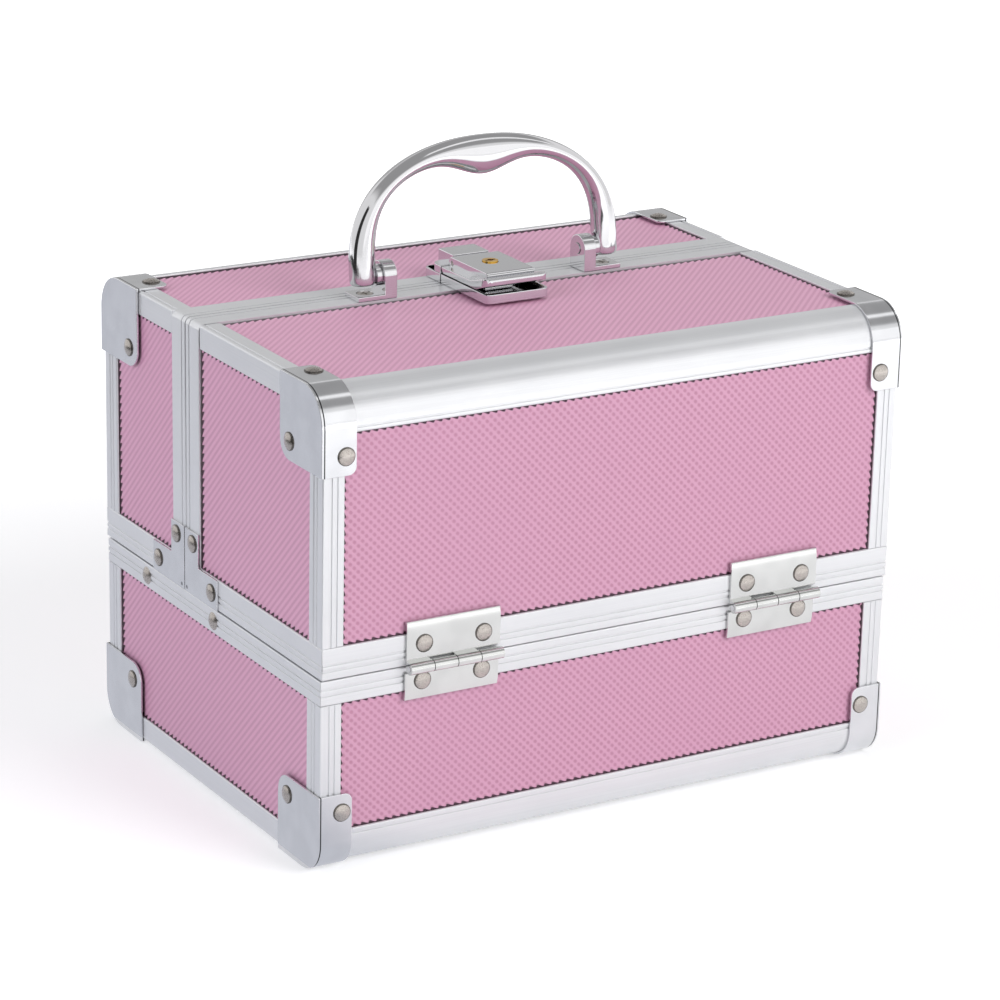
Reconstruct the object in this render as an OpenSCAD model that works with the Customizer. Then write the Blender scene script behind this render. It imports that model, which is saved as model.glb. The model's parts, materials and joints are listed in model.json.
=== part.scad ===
// Split-top train case: a base, a front and a rear half-lid that swing outwards on the
// base's long sides, a tray carried level by each half-lid, a hinged carrying handle and
// a key latch across the split. Millimetres, +Z up, +X along the hinged long sides, front
// at -Y, origin on the floor under the middle of the case.

/* [Case] */
// Length over the rails, along the hinged sides
case_l = 240; // [200:1:320]
// Width over the base rails, across the hinged sides
case_w = 172; // [150:1:230]
// Height over the rails
case_h = 177; // [150:0.5:230]
// Height of the base over its rails, up to the lids
base_h = 72.5; // [60:0.5:90]
// Distance of the split between the half-lids behind the middle of the case
split_y = 18.6; // [0:0.1:24]
// Gap between the base and the lids, and between the two half-lids
split_gap = 0.6; // [0.4:0.1:1.2]
// How far the lids' long faces stand proud of the base's
lid_proud = 1; // [0:0.1:2]

/* [Rails and panels] */
// Thickness of the outer panels
panel_t = 3; // [2:0.5:4]
// Rail skin outside the panel, which is also how deep the panel sits
rail_skin = 1; // [0.8:0.1:1.6]
// Rail skin inside the panel
inner_skin = 1.2; // [1:0.1:2]
// Depth of a panel's edge in its rail's slot
slot_d = 2.5; // [1.5:0.1:3]
// Visible height of a long rounded rail on the long face
long_leg_h = 15.3; // [14:0.1:20]
// Visible depth of a long rounded rail on the top or the bottom
long_leg_d = 13.3; // [13.2:0.1:18]
// Outer radius of the lids' long rounded rails
top_r = 13; // [8:0.5:13]
// Outer radius of the base's long rounded rails
bottom_r = 11.5; // [8:0.5:13]
// Visible height of an end rail on the end face
end_leg_h = 9; // [8:0.1:12]
// Visible width of an end rail on the top or the bottom
end_leg_d = 8; // [7.8:0.1:12]
// Width of a corner post on the long face
post_face_w = 8.5; // [8:0.1:12]
// Width of a corner post on the end face
post_end_w = 10; // [8:0.1:14]
// Height of the base's rim rails
base_rim_h = 9.3; // [8:0.1:12]
// Height of the lids' rim rails
lid_rim_h = 11.7; // [10:0.1:14]
// Width of each half-lid's meeting rail along the split
meet_w = 10.7; // [9:0.1:14]
// Outer radius where the meeting rail bends over the case's top edge
meet_r = 2.5; // [1:0.5:4]
// Dark gap between the front meeting rail and the front lid's end rails
meet_reveal = 0.9; // [0.3:0.1:1.5]
// Width of the fine grooves along the rails
groove_w = 0.6; // [0.4:0.1:1]
// Depth of the fine grooves along the rails
groove_d = 0.35; // [0.2:0.05:0.5]

/* [Corner guards and plates] */
// Thickness of the pressed corner guards
guard_t = 1; // [0.8:0.1:1.5]
// Width of a guard along the case
guard_w = 12.5; // [11:0.5:16]
// Reach of a lid guard from the case's corner
lid_guard_reach = 30; // [28:0.5:34]
// Reach of a base guard from the case's corner
base_guard_reach = 29.5; // [28:0.5:32]
// Radius of a guard's lobe round its rivet
guard_lobe_r = 7; // [6:0.5:9]
// Thickness of the angle plates at the split
angle_t = 0.8; // [0.6:0.1:1.2]
// Height of an angle plate's upright arm
angle_h = 24.5; // [20:0.5:30]
// Length of an angle plate's level arm
angle_l = 26; // [22:0.5:32]
// Distance of the plate rivets from the ends of the arms
angle_inset = 4.6; // [4:0.1:6]
// Radius of a rivet's domed head
rivet_r = 3.4; // [2.8:0.1:3.6]
// Height of a rivet's domed head
rivet_h = 1.3; // [1:0.1:2.2]
// Radius of a rivet's shank
shank_r = 1.5; // [1:0.1:2]

/* [Hinges] */
// Width of a hinge along the case
hinge_w = 38; // [30:1:46]
// Distance of each hinge from the middle of the case
hinge_x = 68; // [60:1:84]
// Thickness of the hinge leaves
leaf_t = 1.2; // [1:0.1:1.5]
// Height of a lid leaf above the hinge pin
lid_leaf_h = 16.8; // [15:0.1:20]
// Height of a base leaf below the hinge pin
base_leaf_h = 13; // [12:0.1:16]
// Radius of the hinge barrel
barrel_r = 2.2; // [2:0.1:2.6]
// Radius of the hinge pin
hinge_pin_r = 1; // [0.8:0.1:1.2]
// Distance of the hinge pin outside the lid's long face
pin_out = 2.7; // [2.5:0.1:3.2]
// Distance of a leaf's rivets from the hinge's middle
leaf_rivet_x = 12; // [9:0.5:15]

/* [Handle] */
// Distance of the handle's middle from the case's middle
handle_x = 1.5; // [-3:0.5:3]
// Width of the handle over its legs
handle_w = 114.5; // [106:0.5:125]
// Height of the arch above the handle's pins
handle_h = 47.6; // [46:0.1:60]
// Thickness of the handle across the legs
handle_t = 10.2; // [8:0.1:12]
// Depth of the handle, front to back
handle_d = 9.5; // [9:0.5:12]
// Depth of the finger swell under the arch
swell = 6.3; // [4:0.1:10]
// Radius of the handle's pins
handle_pin_r = 2; // [1.5:0.1:2.4]
// Height of the pins above the meeting rail
handle_pin_z = 8.2; // [7.5:0.1:10]
// Lean of the handle towards the rear at rest, in degrees
handle_lean = 6; // [0:1:8]
// Thickness of a bracket's upright ear
ear_t = 5.2; // [4.5:0.1:7.5]
// Length of a bracket's foot outside its ear
foot_l = 11; // [9:0.5:13]
// Thickness of a bracket's foot
foot_t = 1.9; // [1.5:0.1:2.5]

/* [Latch] */
// Distance of the latch's middle from the case's middle
latch_x = -1; // [-3:0.5:3]
// Width of the latch plates
latch_w = 27; // [24:0.5:32]
// Length of the latch base in front of the split
latch_l = 34; // [30:0.5:38]
// Length of the keeper behind the split
keeper_l = 12.5; // [11:0.5:13]
// Height of the latch base's raised rim
latch_rim_h = 3.6; // [3.4:0.1:4]
// Wall thickness of the latch base and the keeper
latch_t = 1.2; // [1:0.1:1.4]
// Radius of the latch plates' outer corners
latch_r = 2.6; // [2:0.1:3]
// Floor thickness of the latch base and the keeper
latch_floor = 0.8; // [0.6:0.1:1]
// Radius of the latch lever's pin
lever_pin_r = 0.8; // [0.6:0.1:0.9]
// Radius of the lever's front corners
lever_corner_r = 3.2; // [2:0.1:4]
// Radius of the keeper's rear shoulders
shoulder_r = 4.6; // [3:0.1:5]
// Height of the lever's flat top above the rail
lever_top = 6.5; // [6.3:0.1:7]
// Height of the lever's lifted front lip above the rail
lip_top = 9; // [8.6:0.1:9.6]
// Height of the lock block's top above the rail
block_top = 10.2; // [10:0.1:10.4]
// Width of the lock block
block_w = 20.5; // [18:0.5:21]
// Width of the keeper's raised block
keeper_block_w = 15.5; // [14.5:0.5:18]
// Radius of the lock cylinder
lock_r = 3; // [2.5:0.1:4]

/* [Trays] */
// Height of the trays
tray_h = 26.5; // [20:0.5:28]
// Wall and floor thickness of the trays
tray_t = 1.6; // [1.2:0.1:2]
// Height of the tray's pivot above the hinge pins
tray_pivot_z = 45; // [44:0.5:50]
// Distance of the front tray's pivot behind the front hinge pins
front_pivot_y = 16.5; // [16:0.1:17]
// Distance of the rear tray's pivot in front of the rear hinge pins
rear_pivot_y = 20.5; // [20:0.1:22]
// Height of the tray's pivot above the tray's underside
tray_pivot_up = 4.5; // [4.2:0.1:5]
// Running gap between a tray and the walls round it
tray_gap = 0.5; // [0.4:0.1:1]
// Distance of the front arms' base pivots from the split
front_arm_y = 21.8; // [21:0.1:24]
// Distance of the rear arms' base pivots from the split
rear_arm_y = 33.5; // [30:0.1:36]
// Thickness of the tray arms
arm_t = 1.5; // [1.2:0.1:1.7]
// Width of the tray arms
arm_w = 6.4; // [6.2:0.1:6.8]
// Radius of the tray pins
tray_pin_r = 1.8; // [1.5:0.1:2]
// Thickness of the trays' dividers
divider_t = 1.2; // [1:0.1:2]

/* [Hidden] */
$fn = 48;
rail_t = rail_skin + panel_t + inner_skin;
hx = case_l / 2;
by = case_w / 2;
ly = by + lid_proud;
zb = guard_t;
zs = zb + base_h;
zl = zs + split_gap;
zt = zb + case_h;
front_w = ly + split_y - split_gap / 2;
rear_w = ly - split_y - split_gap / 2;
run = 0.05;
play = 0.3;
eps = 1;
mitre_gap = 0.1;
lining_gap = 0.3;
pin_z = (zs + zl) / 2;
groove_at = [3, 5.2];
guard_rivet = 8.4;
guard_end_r = 3;
leaf_clear = 2.6;
knuckles = 4;
knuckle_gap = 0.3;
base_rivet_drop = 6;
lid_rivet_rise = 8.2;
arm_pivot_z = zs - base_rim_h / 2;
wall_in = hx - rail_t;
arm_gap = 0.8;
tray_inset = 2.6;
tray_hx = wall_in - arm_gap - arm_t - tray_gap;
bracket_t = 1.5;
strip_front_y = split_y - split_gap / 2 - meet_w;
strip_mid_y = strip_front_y + meet_w / 2;
ear_out = handle_w / 2 - handle_t - 1.5;

metal = [0.80, 0.81, 0.83];
bright = [0.87, 0.88, 0.91];
chrome = [0.78, 0.76, 0.80];
rivet_metal = [0.74, 0.71, 0.69];
pink = [0.86, 0.65, 0.76];
black = [0.10, 0.10, 0.11];
brass = [0.85, 0.66, 0.25];

// ---- placing ----------------------------------------------------------------------

// The same piece at the left and the right end.
module both_ends() {
  children();
  mirror([1, 0, 0]) children();
}

// The same piece on the front and the rear long side of the base.
module both_sides() {
  children();
  mirror([0, 1, 0]) children();
}

// Lid pieces are drawn with y counted inwards from the lid's own long face.
module front_lid_place() translate([0, -ly, 0]) children();

module rear_lid_place() mirror([0, 1, 0]) translate([0, -ly, 0]) children();

// Base pieces are drawn with y counted inwards from the base's front face.
module base_place() translate([0, -by, 0]) children();

// Left-end pieces are drawn with x counted inwards from the end face.
module end_place() translate([-hx, 0, 0]) children();

// Top pieces are drawn hanging from the top, with z counted downwards.
module hang() translate([0, 0, zt]) mirror([0, 0, 1]) children();

// Extrudes a (y, z) section along x, about the middle.
module along_x(len) rotate([90, 0, 90]) linear_extrude(len, center = true) children();

// Extrudes a (x, z) section from y0 to y1.
module along_y(y0, y1)
  translate([0, y1, 0]) rotate([90, 0, 0]) linear_extrude(y1 - y0) children();

// A cylinder along x from x0 to x1.
module rod_x(x0, x1, y, z, r)
  translate([x0, y, z]) rotate([0, 90, 0]) cylinder(r = r, h = x1 - x0);

// ---- sections ---------------------------------------------------------------------

// A rectangle whose corner at the origin is round.
module round_corner(w, h, r) {
  difference() {
    square([w, h]);
    difference() {
      translate([-eps, -eps]) square([r + eps, r + eps]);
      translate([r, r]) circle(r);
    }
  }
}

// The long rail: rounded outside, a slot for the standing panel and one for the flat one.
module long_rail_section(r) {
  difference() {
    round_corner(long_leg_d, long_leg_h, r);
    translate([rail_t, rail_t]) square([long_leg_d, long_leg_h]);
    translate([rail_skin, long_leg_h - slot_d]) square([panel_t, slot_d + eps]);
    translate([long_leg_d - slot_d, rail_skin]) square([slot_d + eps, panel_t]);
    translate([-eps, long_leg_h - groove_w - 1.6]) square([eps + groove_d, groove_w]);
  }
}

// The end rail: a fine groove follows its eased outer edge.
module end_rail_section() {
  difference() {
    round_corner(end_leg_d, end_leg_h, 0.8);
    translate([1.8, -eps]) square([groove_w, eps + groove_d]);
    translate([rail_t, rail_t]) square([end_leg_d, end_leg_h]);
    translate([rail_skin, end_leg_h - slot_d]) square([panel_t, slot_d + eps]);
    translate([end_leg_d - slot_d, rail_skin]) square([slot_d + eps, panel_t]);
  }
}

// The corner post: an angle with grooves on its long face and a slot in each edge.
module post_section() {
  difference() {
    union() {
      square([post_face_w, rail_t]);
      square([rail_t, post_end_w]);
    }
    translate([post_face_w - slot_d, rail_skin]) square([slot_d + eps, panel_t]);
    translate([rail_skin, post_end_w - slot_d]) square([panel_t, slot_d + eps]);
    for (g = groove_at) translate([g, -eps]) square([groove_w, eps + groove_d]);
    for (g = groove_at) translate([-eps, g + 1]) square([eps + groove_d, groove_w]);
  }
}

// A rim rail of height h, with its slot in the top edge.
module rim_section(h) {
  difference() {
    square([rail_t, h]);
    translate([rail_skin, h - slot_d]) square([panel_t, slot_d + eps]);
    for (g = groove_at) translate([-eps, g]) square([eps + groove_d, groove_w]);
  }
}

// ---- rails and panels shared by the base and the lids ------------------------------

// A long rim rail, mitred at both ends.
module rim_long(h) {
  end = hx - mitre_gap;
  intersection() {
    along_x(case_l) rim_section(h);
    linear_extrude(h)
      polygon([[-end, 0], [end, 0], [end - rail_t, rail_t], [rail_t - end, rail_t]]);
  }
}

// A left end rim rail from the mitred corner at y = 0 to y1; far mitres that end too.
module rim_end(h, y1, far) {
  back = far ? rail_t : 0;
  intersection() {
    end_place() along_y(0, y1) rim_section(h);
    linear_extrude(h)
      polygon([[-hx, 0], [rail_t - hx, rail_t], [rail_t - hx, y1 - back], [-hx, y1]]);
  }
}

// A corner post from z0 to z1, cut back over the long rail's standing leg.
module post(z0, z1) {
  difference() {
    end_place() translate([0, 0, z0]) linear_extrude(z1 - z0) post_section();
    translate([-hx - eps, -eps, 0]) cube([post_face_w + 2 * eps, rail_t + eps, long_leg_h]);
  }
}

// A flat board between two corners.
module board(from, to) translate(from) cube(to - from);

// ---- corner guards, plates and rivets ---------------------------------------------

// The bent strip of a guard, as a (y, z) section round a long rail of radius r.
module guard_band(reach, r) {
  difference() {
    translate([-guard_t, -guard_t])
      round_corner(reach + guard_t, reach + guard_t, r + guard_t);
    round_corner(reach + eps, reach + eps, r);
  }
}

// The plate of a guard on the end face, with its inner corner round about the rivet.
module guard_end_outline(reach, r) {
  rivet = reach - guard_lobe_r;
  difference() {
    translate([-guard_t, -guard_t])
      round_corner(reach + guard_t, reach + guard_t, r + guard_t);
    difference() {
      translate([rivet, rivet]) square(reach);
      translate([rivet, rivet]) circle(guard_lobe_r);
    }
  }
}

// What a rounded corner of radius guard_end_r leaves over, to be cut from a strip's end.
module strip_corner() {
  difference() {
    square(guard_end_r + eps);
    circle(guard_end_r);
  }
}

// One guard for the corner at the left end, with its rivet holes. A lid's guard is also
// riveted down through its level strip.
module guard(reach, r, level_rivet) {
  rivet = reach - guard_lobe_r;
  inner = guard_w - guard_end_r;
  difference() {
    end_place() {
      translate([(guard_w - guard_t) / 2, 0, 0])
        along_x(guard_w + guard_t) guard_band(reach, r);
      translate([-guard_t / 2, 0, 0]) along_x(guard_t) guard_end_outline(reach, r);
    }
    end_place() {
      translate([inner, reach - guard_end_r, -guard_t - eps])
        linear_extrude(guard_t + 2 * eps) strip_corner();
      translate([inner, eps, reach - guard_end_r]) rotate([90, 0, 0])
        linear_extrude(guard_t + 2 * eps) strip_corner();
    }
    end_place() {
      rod_x(-guard_t - eps, eps, rivet, rivet, shank_r);
      translate([guard_rivet, -guard_t - eps, rivet]) rotate([-90, 0, 0])
        cylinder(r = shank_r, h = guard_t + 2 * eps);
      if (level_rivet) translate([guard_rivet, rivet, -guard_t - eps])
        cylinder(r = shank_r, h = guard_t + 2 * eps);
    }
  }
}

// A domed rivet: head above z = 0, shank of the given grip below.
module rivet(grip) {
  ball = (rivet_r * rivet_r + rivet_h * rivet_h) / (2 * rivet_h);
  rotate_extrude() union() {
    intersection() {
      translate([0, rivet_h - ball]) circle(ball);
      square([rivet_r, rivet_h]);
    }
    translate([0, -grip]) square([shank_r, grip + 0.1]);
  }
}

// The rivets of one guard.
module guard_rivets(reach, level_rivet) {
  rivet = reach - guard_lobe_r;
  end_place() {
    translate([-guard_t, rivet, rivet]) rotate([0, -90, 0]) rivet(guard_t + rail_skin);
    translate([guard_rivet, -guard_t, rivet]) rotate([90, 0, 0]) rivet(guard_t);
    if (level_rivet) translate([guard_rivet, rivet, -guard_t]) rotate([180, 0, 0])
      rivet(guard_t);
  }
}

// ---- base -------------------------------------------------------------------------

rim_z = zs - base_rim_h;

module base_front_panel() color(pink) base_long_panel();

module base_rear_panel() color(pink) mirror([0, 1, 0]) base_long_panel();

module base_long_panel() {
  reach = hx - post_face_w + slot_d;
  base_place() board([-reach, rail_skin, zb + long_leg_h - slot_d],
    [reach, rail_skin + panel_t, rim_z + slot_d]);
}

module base_end_panels() color(pink) both_ends() {
  end_place() base_place() board([rail_skin, post_end_w - slot_d, zb + end_leg_h - slot_d],
    [rail_skin + panel_t, case_w - post_end_w + slot_d, rim_z + slot_d]);
}

module base_bottom_panel() color(black) {
  reach_x = hx - end_leg_d + slot_d;
  reach_y = by - long_leg_d + slot_d;
  board([-reach_x, -reach_y, zb + rail_skin], [reach_x, reach_y, zb + rail_skin + panel_t]);
}

module base_corner_posts() color(metal) both_sides() both_ends()
  base_place() translate([0, 0, zb]) post(rail_t, base_h - base_rim_h);

module base_bottom_long_rails() color(metal) both_sides()
  base_place() translate([0, 0, zb]) along_x(case_l) long_rail_section(bottom_r);

module base_bottom_end_rails() color(metal) both_ends()
  end_place() translate([0, 0, zb])
    along_y(long_leg_d - by, by - long_leg_d) end_rail_section();

module base_rim_rails() color(metal) difference() {
  translate([0, 0, zs]) mirror([0, 0, 1]) {
    both_sides() base_place() rim_long(base_rim_h);
    both_ends() base_place() rim_end(base_rim_h, case_w, true);
  }
  both_ends() for (y = arm_base_y) rod_x(-hx - eps, -wall_in + eps, y, arm_pivot_z, shank_r);
}

module base_corner_guards() color(bright) both_sides() both_ends()
  base_place() translate([0, 0, zb]) guard(base_guard_reach, bottom_r, false);

module base_lining() color(black) {
  side = hx - post_face_w - lining_gap;
  low = zb + long_leg_h + lining_gap;
  high = rim_z - lining_gap;
  inner = rail_skin + panel_t;
  both_sides() base_place() board([-side, inner, low], [side, rail_t, high]);
  both_ends() end_place() base_place()
    board([inner, post_end_w + lining_gap, zb + end_leg_h + lining_gap],
      [rail_t, case_w - post_end_w - lining_gap, high]);
  floor_x = hx - end_leg_d - lining_gap;
  floor_y = by - long_leg_d - lining_gap;
  board([-floor_x, -floor_y, zb + inner], [floor_x, floor_y, zb + rail_t]);
}

module base_rivets() color(rivet_metal) both_sides() base_place() {
  both_ends() translate([0, 0, zb]) guard_rivets(base_guard_reach, false);
  for (x = leaf_rivets) translate([x, -leaf_t, pin_z - base_rivet_drop])
    rotate([90, 0, 0]) rivet(leaf_t);
}

// The rivets through the base's end rims, on which the tray arms turn.
module arm_pivot_rivets() color(rivet_metal) both_ends() for (y = arm_base_y) {
  translate([-hx, y, arm_pivot_z]) rotate([0, -90, 0]) rivet(rail_t + arm_gap + arm_t + play);
  rod_x(-wall_in + arm_gap + arm_t + run, -wall_in + arm_gap + arm_t + 0.8, y, arm_pivot_z,
    rivet_r - 0.2);
}

arm_base_y = [split_y - front_arm_y, split_y + rear_arm_y];

// ---- hinges -----------------------------------------------------------------------

leaf_rivets = [for (s = [-1, 1]) for (r = [-1, 1]) s * hinge_x + r * leaf_rivet_x];
knuckle_w = hinge_w / knuckles;

// A leaf's plate as a (y, z) section, y inwards from the face that it lies on.
module leaf_section(h) {
  polygon([[0, leaf_clear], [-leaf_t, leaf_clear], [-leaf_t, h - 2.8], [0.5 - leaf_t, h],
    [rail_skin - 0.2, h], [0, h - 3.3]]);
}

// A leaf with the knuckles whose numbers leave the given remainder. The leaf lies on a
// face that is set back from the lid's long face.
module leaf(h, remainder, set_back) {
  translate([0, set_back, 0]) difference() {
    along_x(hinge_w) leaf_section(h);
    for (r = [-1, 1]) translate([r * leaf_rivet_x, -leaf_t - eps, rivet_at(h)])
      rotate([-90, 0, 0]) cylinder(r = shank_r, h = leaf_t + 3 * eps);
  }
  for (k = [0 : knuckles - 1]) if (k % 2 == remainder) {
    x = (k + 0.5) * knuckle_w - hinge_w / 2;
    translate([x, 0, 0]) difference() {
      along_x(knuckle_w - knuckle_gap) union() {
        translate([-pin_out, 0]) circle(barrel_r);
        translate([-pin_out, barrel_r - leaf_t]) square([pin_out + set_back, leaf_t]);
        translate([set_back - leaf_t, barrel_r - leaf_t])
          square([leaf_t, leaf_clear - barrel_r + leaf_t + 0.4]);
      }
      rod_x(-knuckle_w, knuckle_w, -pin_out, 0, hinge_pin_r + run);
    }
  }
}

function rivet_at(h) = h == lid_leaf_h ? lid_rivet_rise : base_rivet_drop;

module base_leaves() {
  for (s = [-1, 1]) translate([s * hinge_x, -ly, pin_z]) mirror([0, 0, 1])
    leaf(base_leaf_h, 1, lid_proud);
}

module front_hinge_base_leaves() color(bright) base_leaves();

module rear_hinge_base_leaves() color(bright) mirror([0, 1, 0]) base_leaves();

module hinge_pins() color(metal) both_sides() for (s = [-1, 1])
  rod_x(s * hinge_x - hinge_w / 2, s * hinge_x + hinge_w / 2, -ly - pin_out, pin_z,
    hinge_pin_r);

// ---- half-lids, drawn for a lid of depth w -----------------------------------------

module lid_top_panel(w) {
  reach = hx - end_leg_d + slot_d;
  hang() board([-reach, long_leg_d - slot_d, rail_skin],
    [reach, w - meet_w + slot_d, rail_skin + panel_t]);
}

module lid_long_panel() {
  reach = hx - post_face_w + slot_d;
  board([-reach, rail_skin, zl + lid_rim_h - slot_d],
    [reach, rail_skin + panel_t, zt - long_leg_h + slot_d]);
}

module lid_end_panels(w) both_ends() end_place()
  board([rail_skin, post_end_w - slot_d, zl + lid_rim_h - slot_d],
    [rail_skin + panel_t, w - meet_w + slot_d, zt - end_leg_h + slot_d]);

module lid_corner_posts() both_ends() hang() post(rail_t, zt - zl - lid_rim_h);

module lid_long_rail() hang() along_x(case_l) long_rail_section(top_r);

module lid_end_rails(w, reveal) both_ends() hang() end_place()
  along_y(long_leg_d, w - meet_w - reveal) end_rail_section();

module lid_rim_rails(w) translate([0, 0, zl]) {
  rim_long(lid_rim_h);
  both_ends() rim_end(lid_rim_h, w, false);
}

// The upside-down U of the meeting rail in the (x, z) plane, inset on every side.
module meeting_outline(inset, low) {
  r = max(meet_r - inset, 0.5);
  half = hx - inset;
  top = zt - inset;
  difference() {
    translate([-half, low]) square([2 * half, top - low]);
    for (s = [-1, 1]) translate([s * (half - r), top - r]) difference() {
      translate([s > 0 ? 0 : -r - eps, 0]) square([r + eps, r + eps]);
      circle(r);
    }
  }
}

// The meeting rail: a bent extrusion, with the panels' slot in its outer edge.
module lid_meeting_rail(w) {
  low = zl + lid_rim_h;
  difference() {
    along_y(w - meet_w, w) difference() {
      meeting_outline(0, low);
      meeting_outline(rail_t, low - eps);
    }
    along_y(w - meet_w - eps, w - meet_w + slot_d) difference() {
      meeting_outline(rail_skin, low - eps);
      meeting_outline(rail_skin + panel_t, low - 2 * eps);
    }
    along_y(w - 2.4 - groove_w, w - 2.4) difference() {
      meeting_outline(-eps, low - eps);
      meeting_outline(groove_d, low - 2 * eps);
    }
  }
}

module lid_corner_guards() both_ends() hang() guard(lid_guard_reach, top_r, true);

// The angle plates that tie the meeting rail to the rim rails on the end faces.
module lid_angle_plates(w) both_ends() {
  difference() {
    translate([-hx - angle_t / 2, 0, zl]) along_x(angle_t) union() {
      translate([w - meet_w, 0]) square([meet_w, angle_h]);
      translate([w - angle_l, 0]) square([angle_l, lid_rim_h]);
    }
    for (p = angle_rivets(w)) rod_x(-hx - angle_t - eps, -hx + eps, p[0], p[1], shank_r);
    rod_x(-hx - angle_t - eps, -hx + eps, w - 1.8, zl + 1.8, 0.7);
  }
}

function angle_rivets(w) = [[w - meet_w / 2 - 1, zl + angle_h - angle_inset],
  [w - angle_l + angle_inset, zl + lid_rim_h / 2]];

module lid_rivets(w) {
  both_ends() {
    hang() guard_rivets(lid_guard_reach, true);
    for (p = angle_rivets(w)) translate([-hx - angle_t, p[0], p[1]]) rotate([0, -90, 0])
      rivet(angle_t);
  }
  for (x = leaf_rivets) translate([x, -leaf_t, pin_z + lid_rivet_rise]) rotate([90, 0, 0])
    rivet(leaf_t);
}

module lid_hinge_leaves() for (s = [-1, 1])
  translate([s * hinge_x, 0, pin_z]) leaf(lid_leaf_h, 0, 0);

module lid_lining(w) {
  side = hx - post_face_w - lining_gap;
  low = zl + lid_rim_h + lining_gap;
  inner = rail_skin + panel_t;
  board([-side, inner, low], [side, rail_t, zt - long_leg_h - lining_gap]);
  both_ends() end_place() board([inner, post_end_w + lining_gap, low],
    [rail_t, w - meet_w - lining_gap, zt - end_leg_h - lining_gap]);
  floor_x = hx - end_leg_d - lining_gap;
  hang() board([-floor_x, long_leg_d + lining_gap, inner],
    [floor_x, w - meet_w - lining_gap, rail_t]);
}

// The plates inside the lid's ends, each with the pin on which its tray hangs.
module tray_brackets(pivot_y) {
  y = pivot_y - pin_out;
  z = pin_z + tray_pivot_z;
  both_ends() {
    board([-wall_in, rail_t + play, z - 8], [bracket_t - wall_in, y + 6, z + 8]);
    rod_x(bracket_t / 2 - wall_in, tray_t + run - tray_hx, y, z, tray_pin_r);
  }
}

// ---- handle -----------------------------------------------------------------------

arch_drop = 4.2;
arch_out = handle_w / 2;
arch_in = arch_out - handle_t;
arch_rise = handle_h - arch_drop;
crown_t = 9;
arch_inner_rise = arch_rise - crown_t;
outer_power = 2.2;
inner_power = 2.9;
swell_reach = 13;
foot_drop = 3.4;
// Heights above the foot's end, and how far the leg is drawn in there.
foot_shape = [[0, 0.72], [0.5, 0.9], [1.6, 1]];
boss_r = 4;
boss_out = 0.8;
ring_points = 20;
stations = 36;

// A point on a rounded arch of half-width a and rise b at t degrees from the crown.
function arch_point(a, b, n, t) = [a * sin(t), b * pow(1 - pow(abs(sin(t)), n), 1 / n)];

function outer_at(t) = arch_point(arch_out, arch_rise, outer_power, t);

function inner_at(t) = let (p = arch_point(arch_in, arch_inner_rise, inner_power, t))
  [p[0], p[1] - swell * exp(-pow(p[0] / swell_reach, 2))];

// One ring of the handle: an ellipse between the inner and the outer curve.
function ring(outer, inner, depth) = let (m = (outer + inner) / 2, h = (outer - inner) / 2)
  [for (k = [0 : ring_points - 1]) let (a = 360 * k / ring_points)
    [m[0] + h[0] * cos(a), depth * sin(a), m[1] + h[1] * cos(a)]];

// A level ring in one leg, at height z, shrunk by the factor f.
function leg_ring(s, z, f) = let (m = (arch_out + arch_in) / 2, h = handle_t / 2 * f)
  ring([s * (m + h), z], [s * (m - h), z], handle_d / 2 * f);

function arch_rings() = [for (i = [1 : stations - 1]) let (t = 90 - 180 * i / stations)
  ring(outer_at(t), inner_at(t), handle_d / 2)];

// The rings of one foot, from its rounded end up to the springing of the arch.
function foot_rings(s, low) = [for (f = foot_shape) leg_ring(s, low + f[0], f[1]),
  leg_ring(s, 0, 1)];

function reversed(v) = [for (i = [len(v) - 1 : -1 : 0]) v[i]];

// Handle pieces are drawn about the middle of their own pair.
module handle_place() translate([handle_x, 0, 0]) children();

module handle() color(chrome) {
  low = -arch_drop - foot_drop;
  rings = concat(foot_rings(1, low), arch_rings(), reversed(foot_rings(-1, low)));
  n = ring_points;
  last = len(rings) - 1;
  faces = concat([[for (k = [0 : n - 1]) k]], [[for (k = [n - 1 : -1 : 0]) last * n + k]],
    [for (i = [0 : last - 1]) for (k = [0 : n - 1]) let (j = (k + 1) % n)
      each [[i * n + k, (i + 1) * n + k, (i + 1) * n + j],
        [i * n + k, (i + 1) * n + j, i * n + j]]]);
  handle_place() difference() {
    translate([0, strip_mid_y, zt + handle_pin_z]) rotate([-handle_lean, 0, 0])
      translate([0, 0, arch_drop]) polyhedron([for (r = rings) each r], faces);
    both_ends() {
      rod_x(-arch_out + 3, -ear_out, strip_mid_y, zt + handle_pin_z, handle_pin_r);
      rod_x(-arch_in - boss_out, -ear_out, strip_mid_y, zt + handle_pin_z, boss_r);
    }
  }
}

module handle_pins() color(chrome) handle_place() both_ends() {
  y = strip_mid_y;
  z = zt + handle_pin_z;
  rod_x(-arch_out + 3, -ear_out + ear_t + 0.4, y, z, handle_pin_r);
  rod_x(-arch_in - boss_out, -ear_out - 0.15, y, z, boss_r);
}

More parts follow.
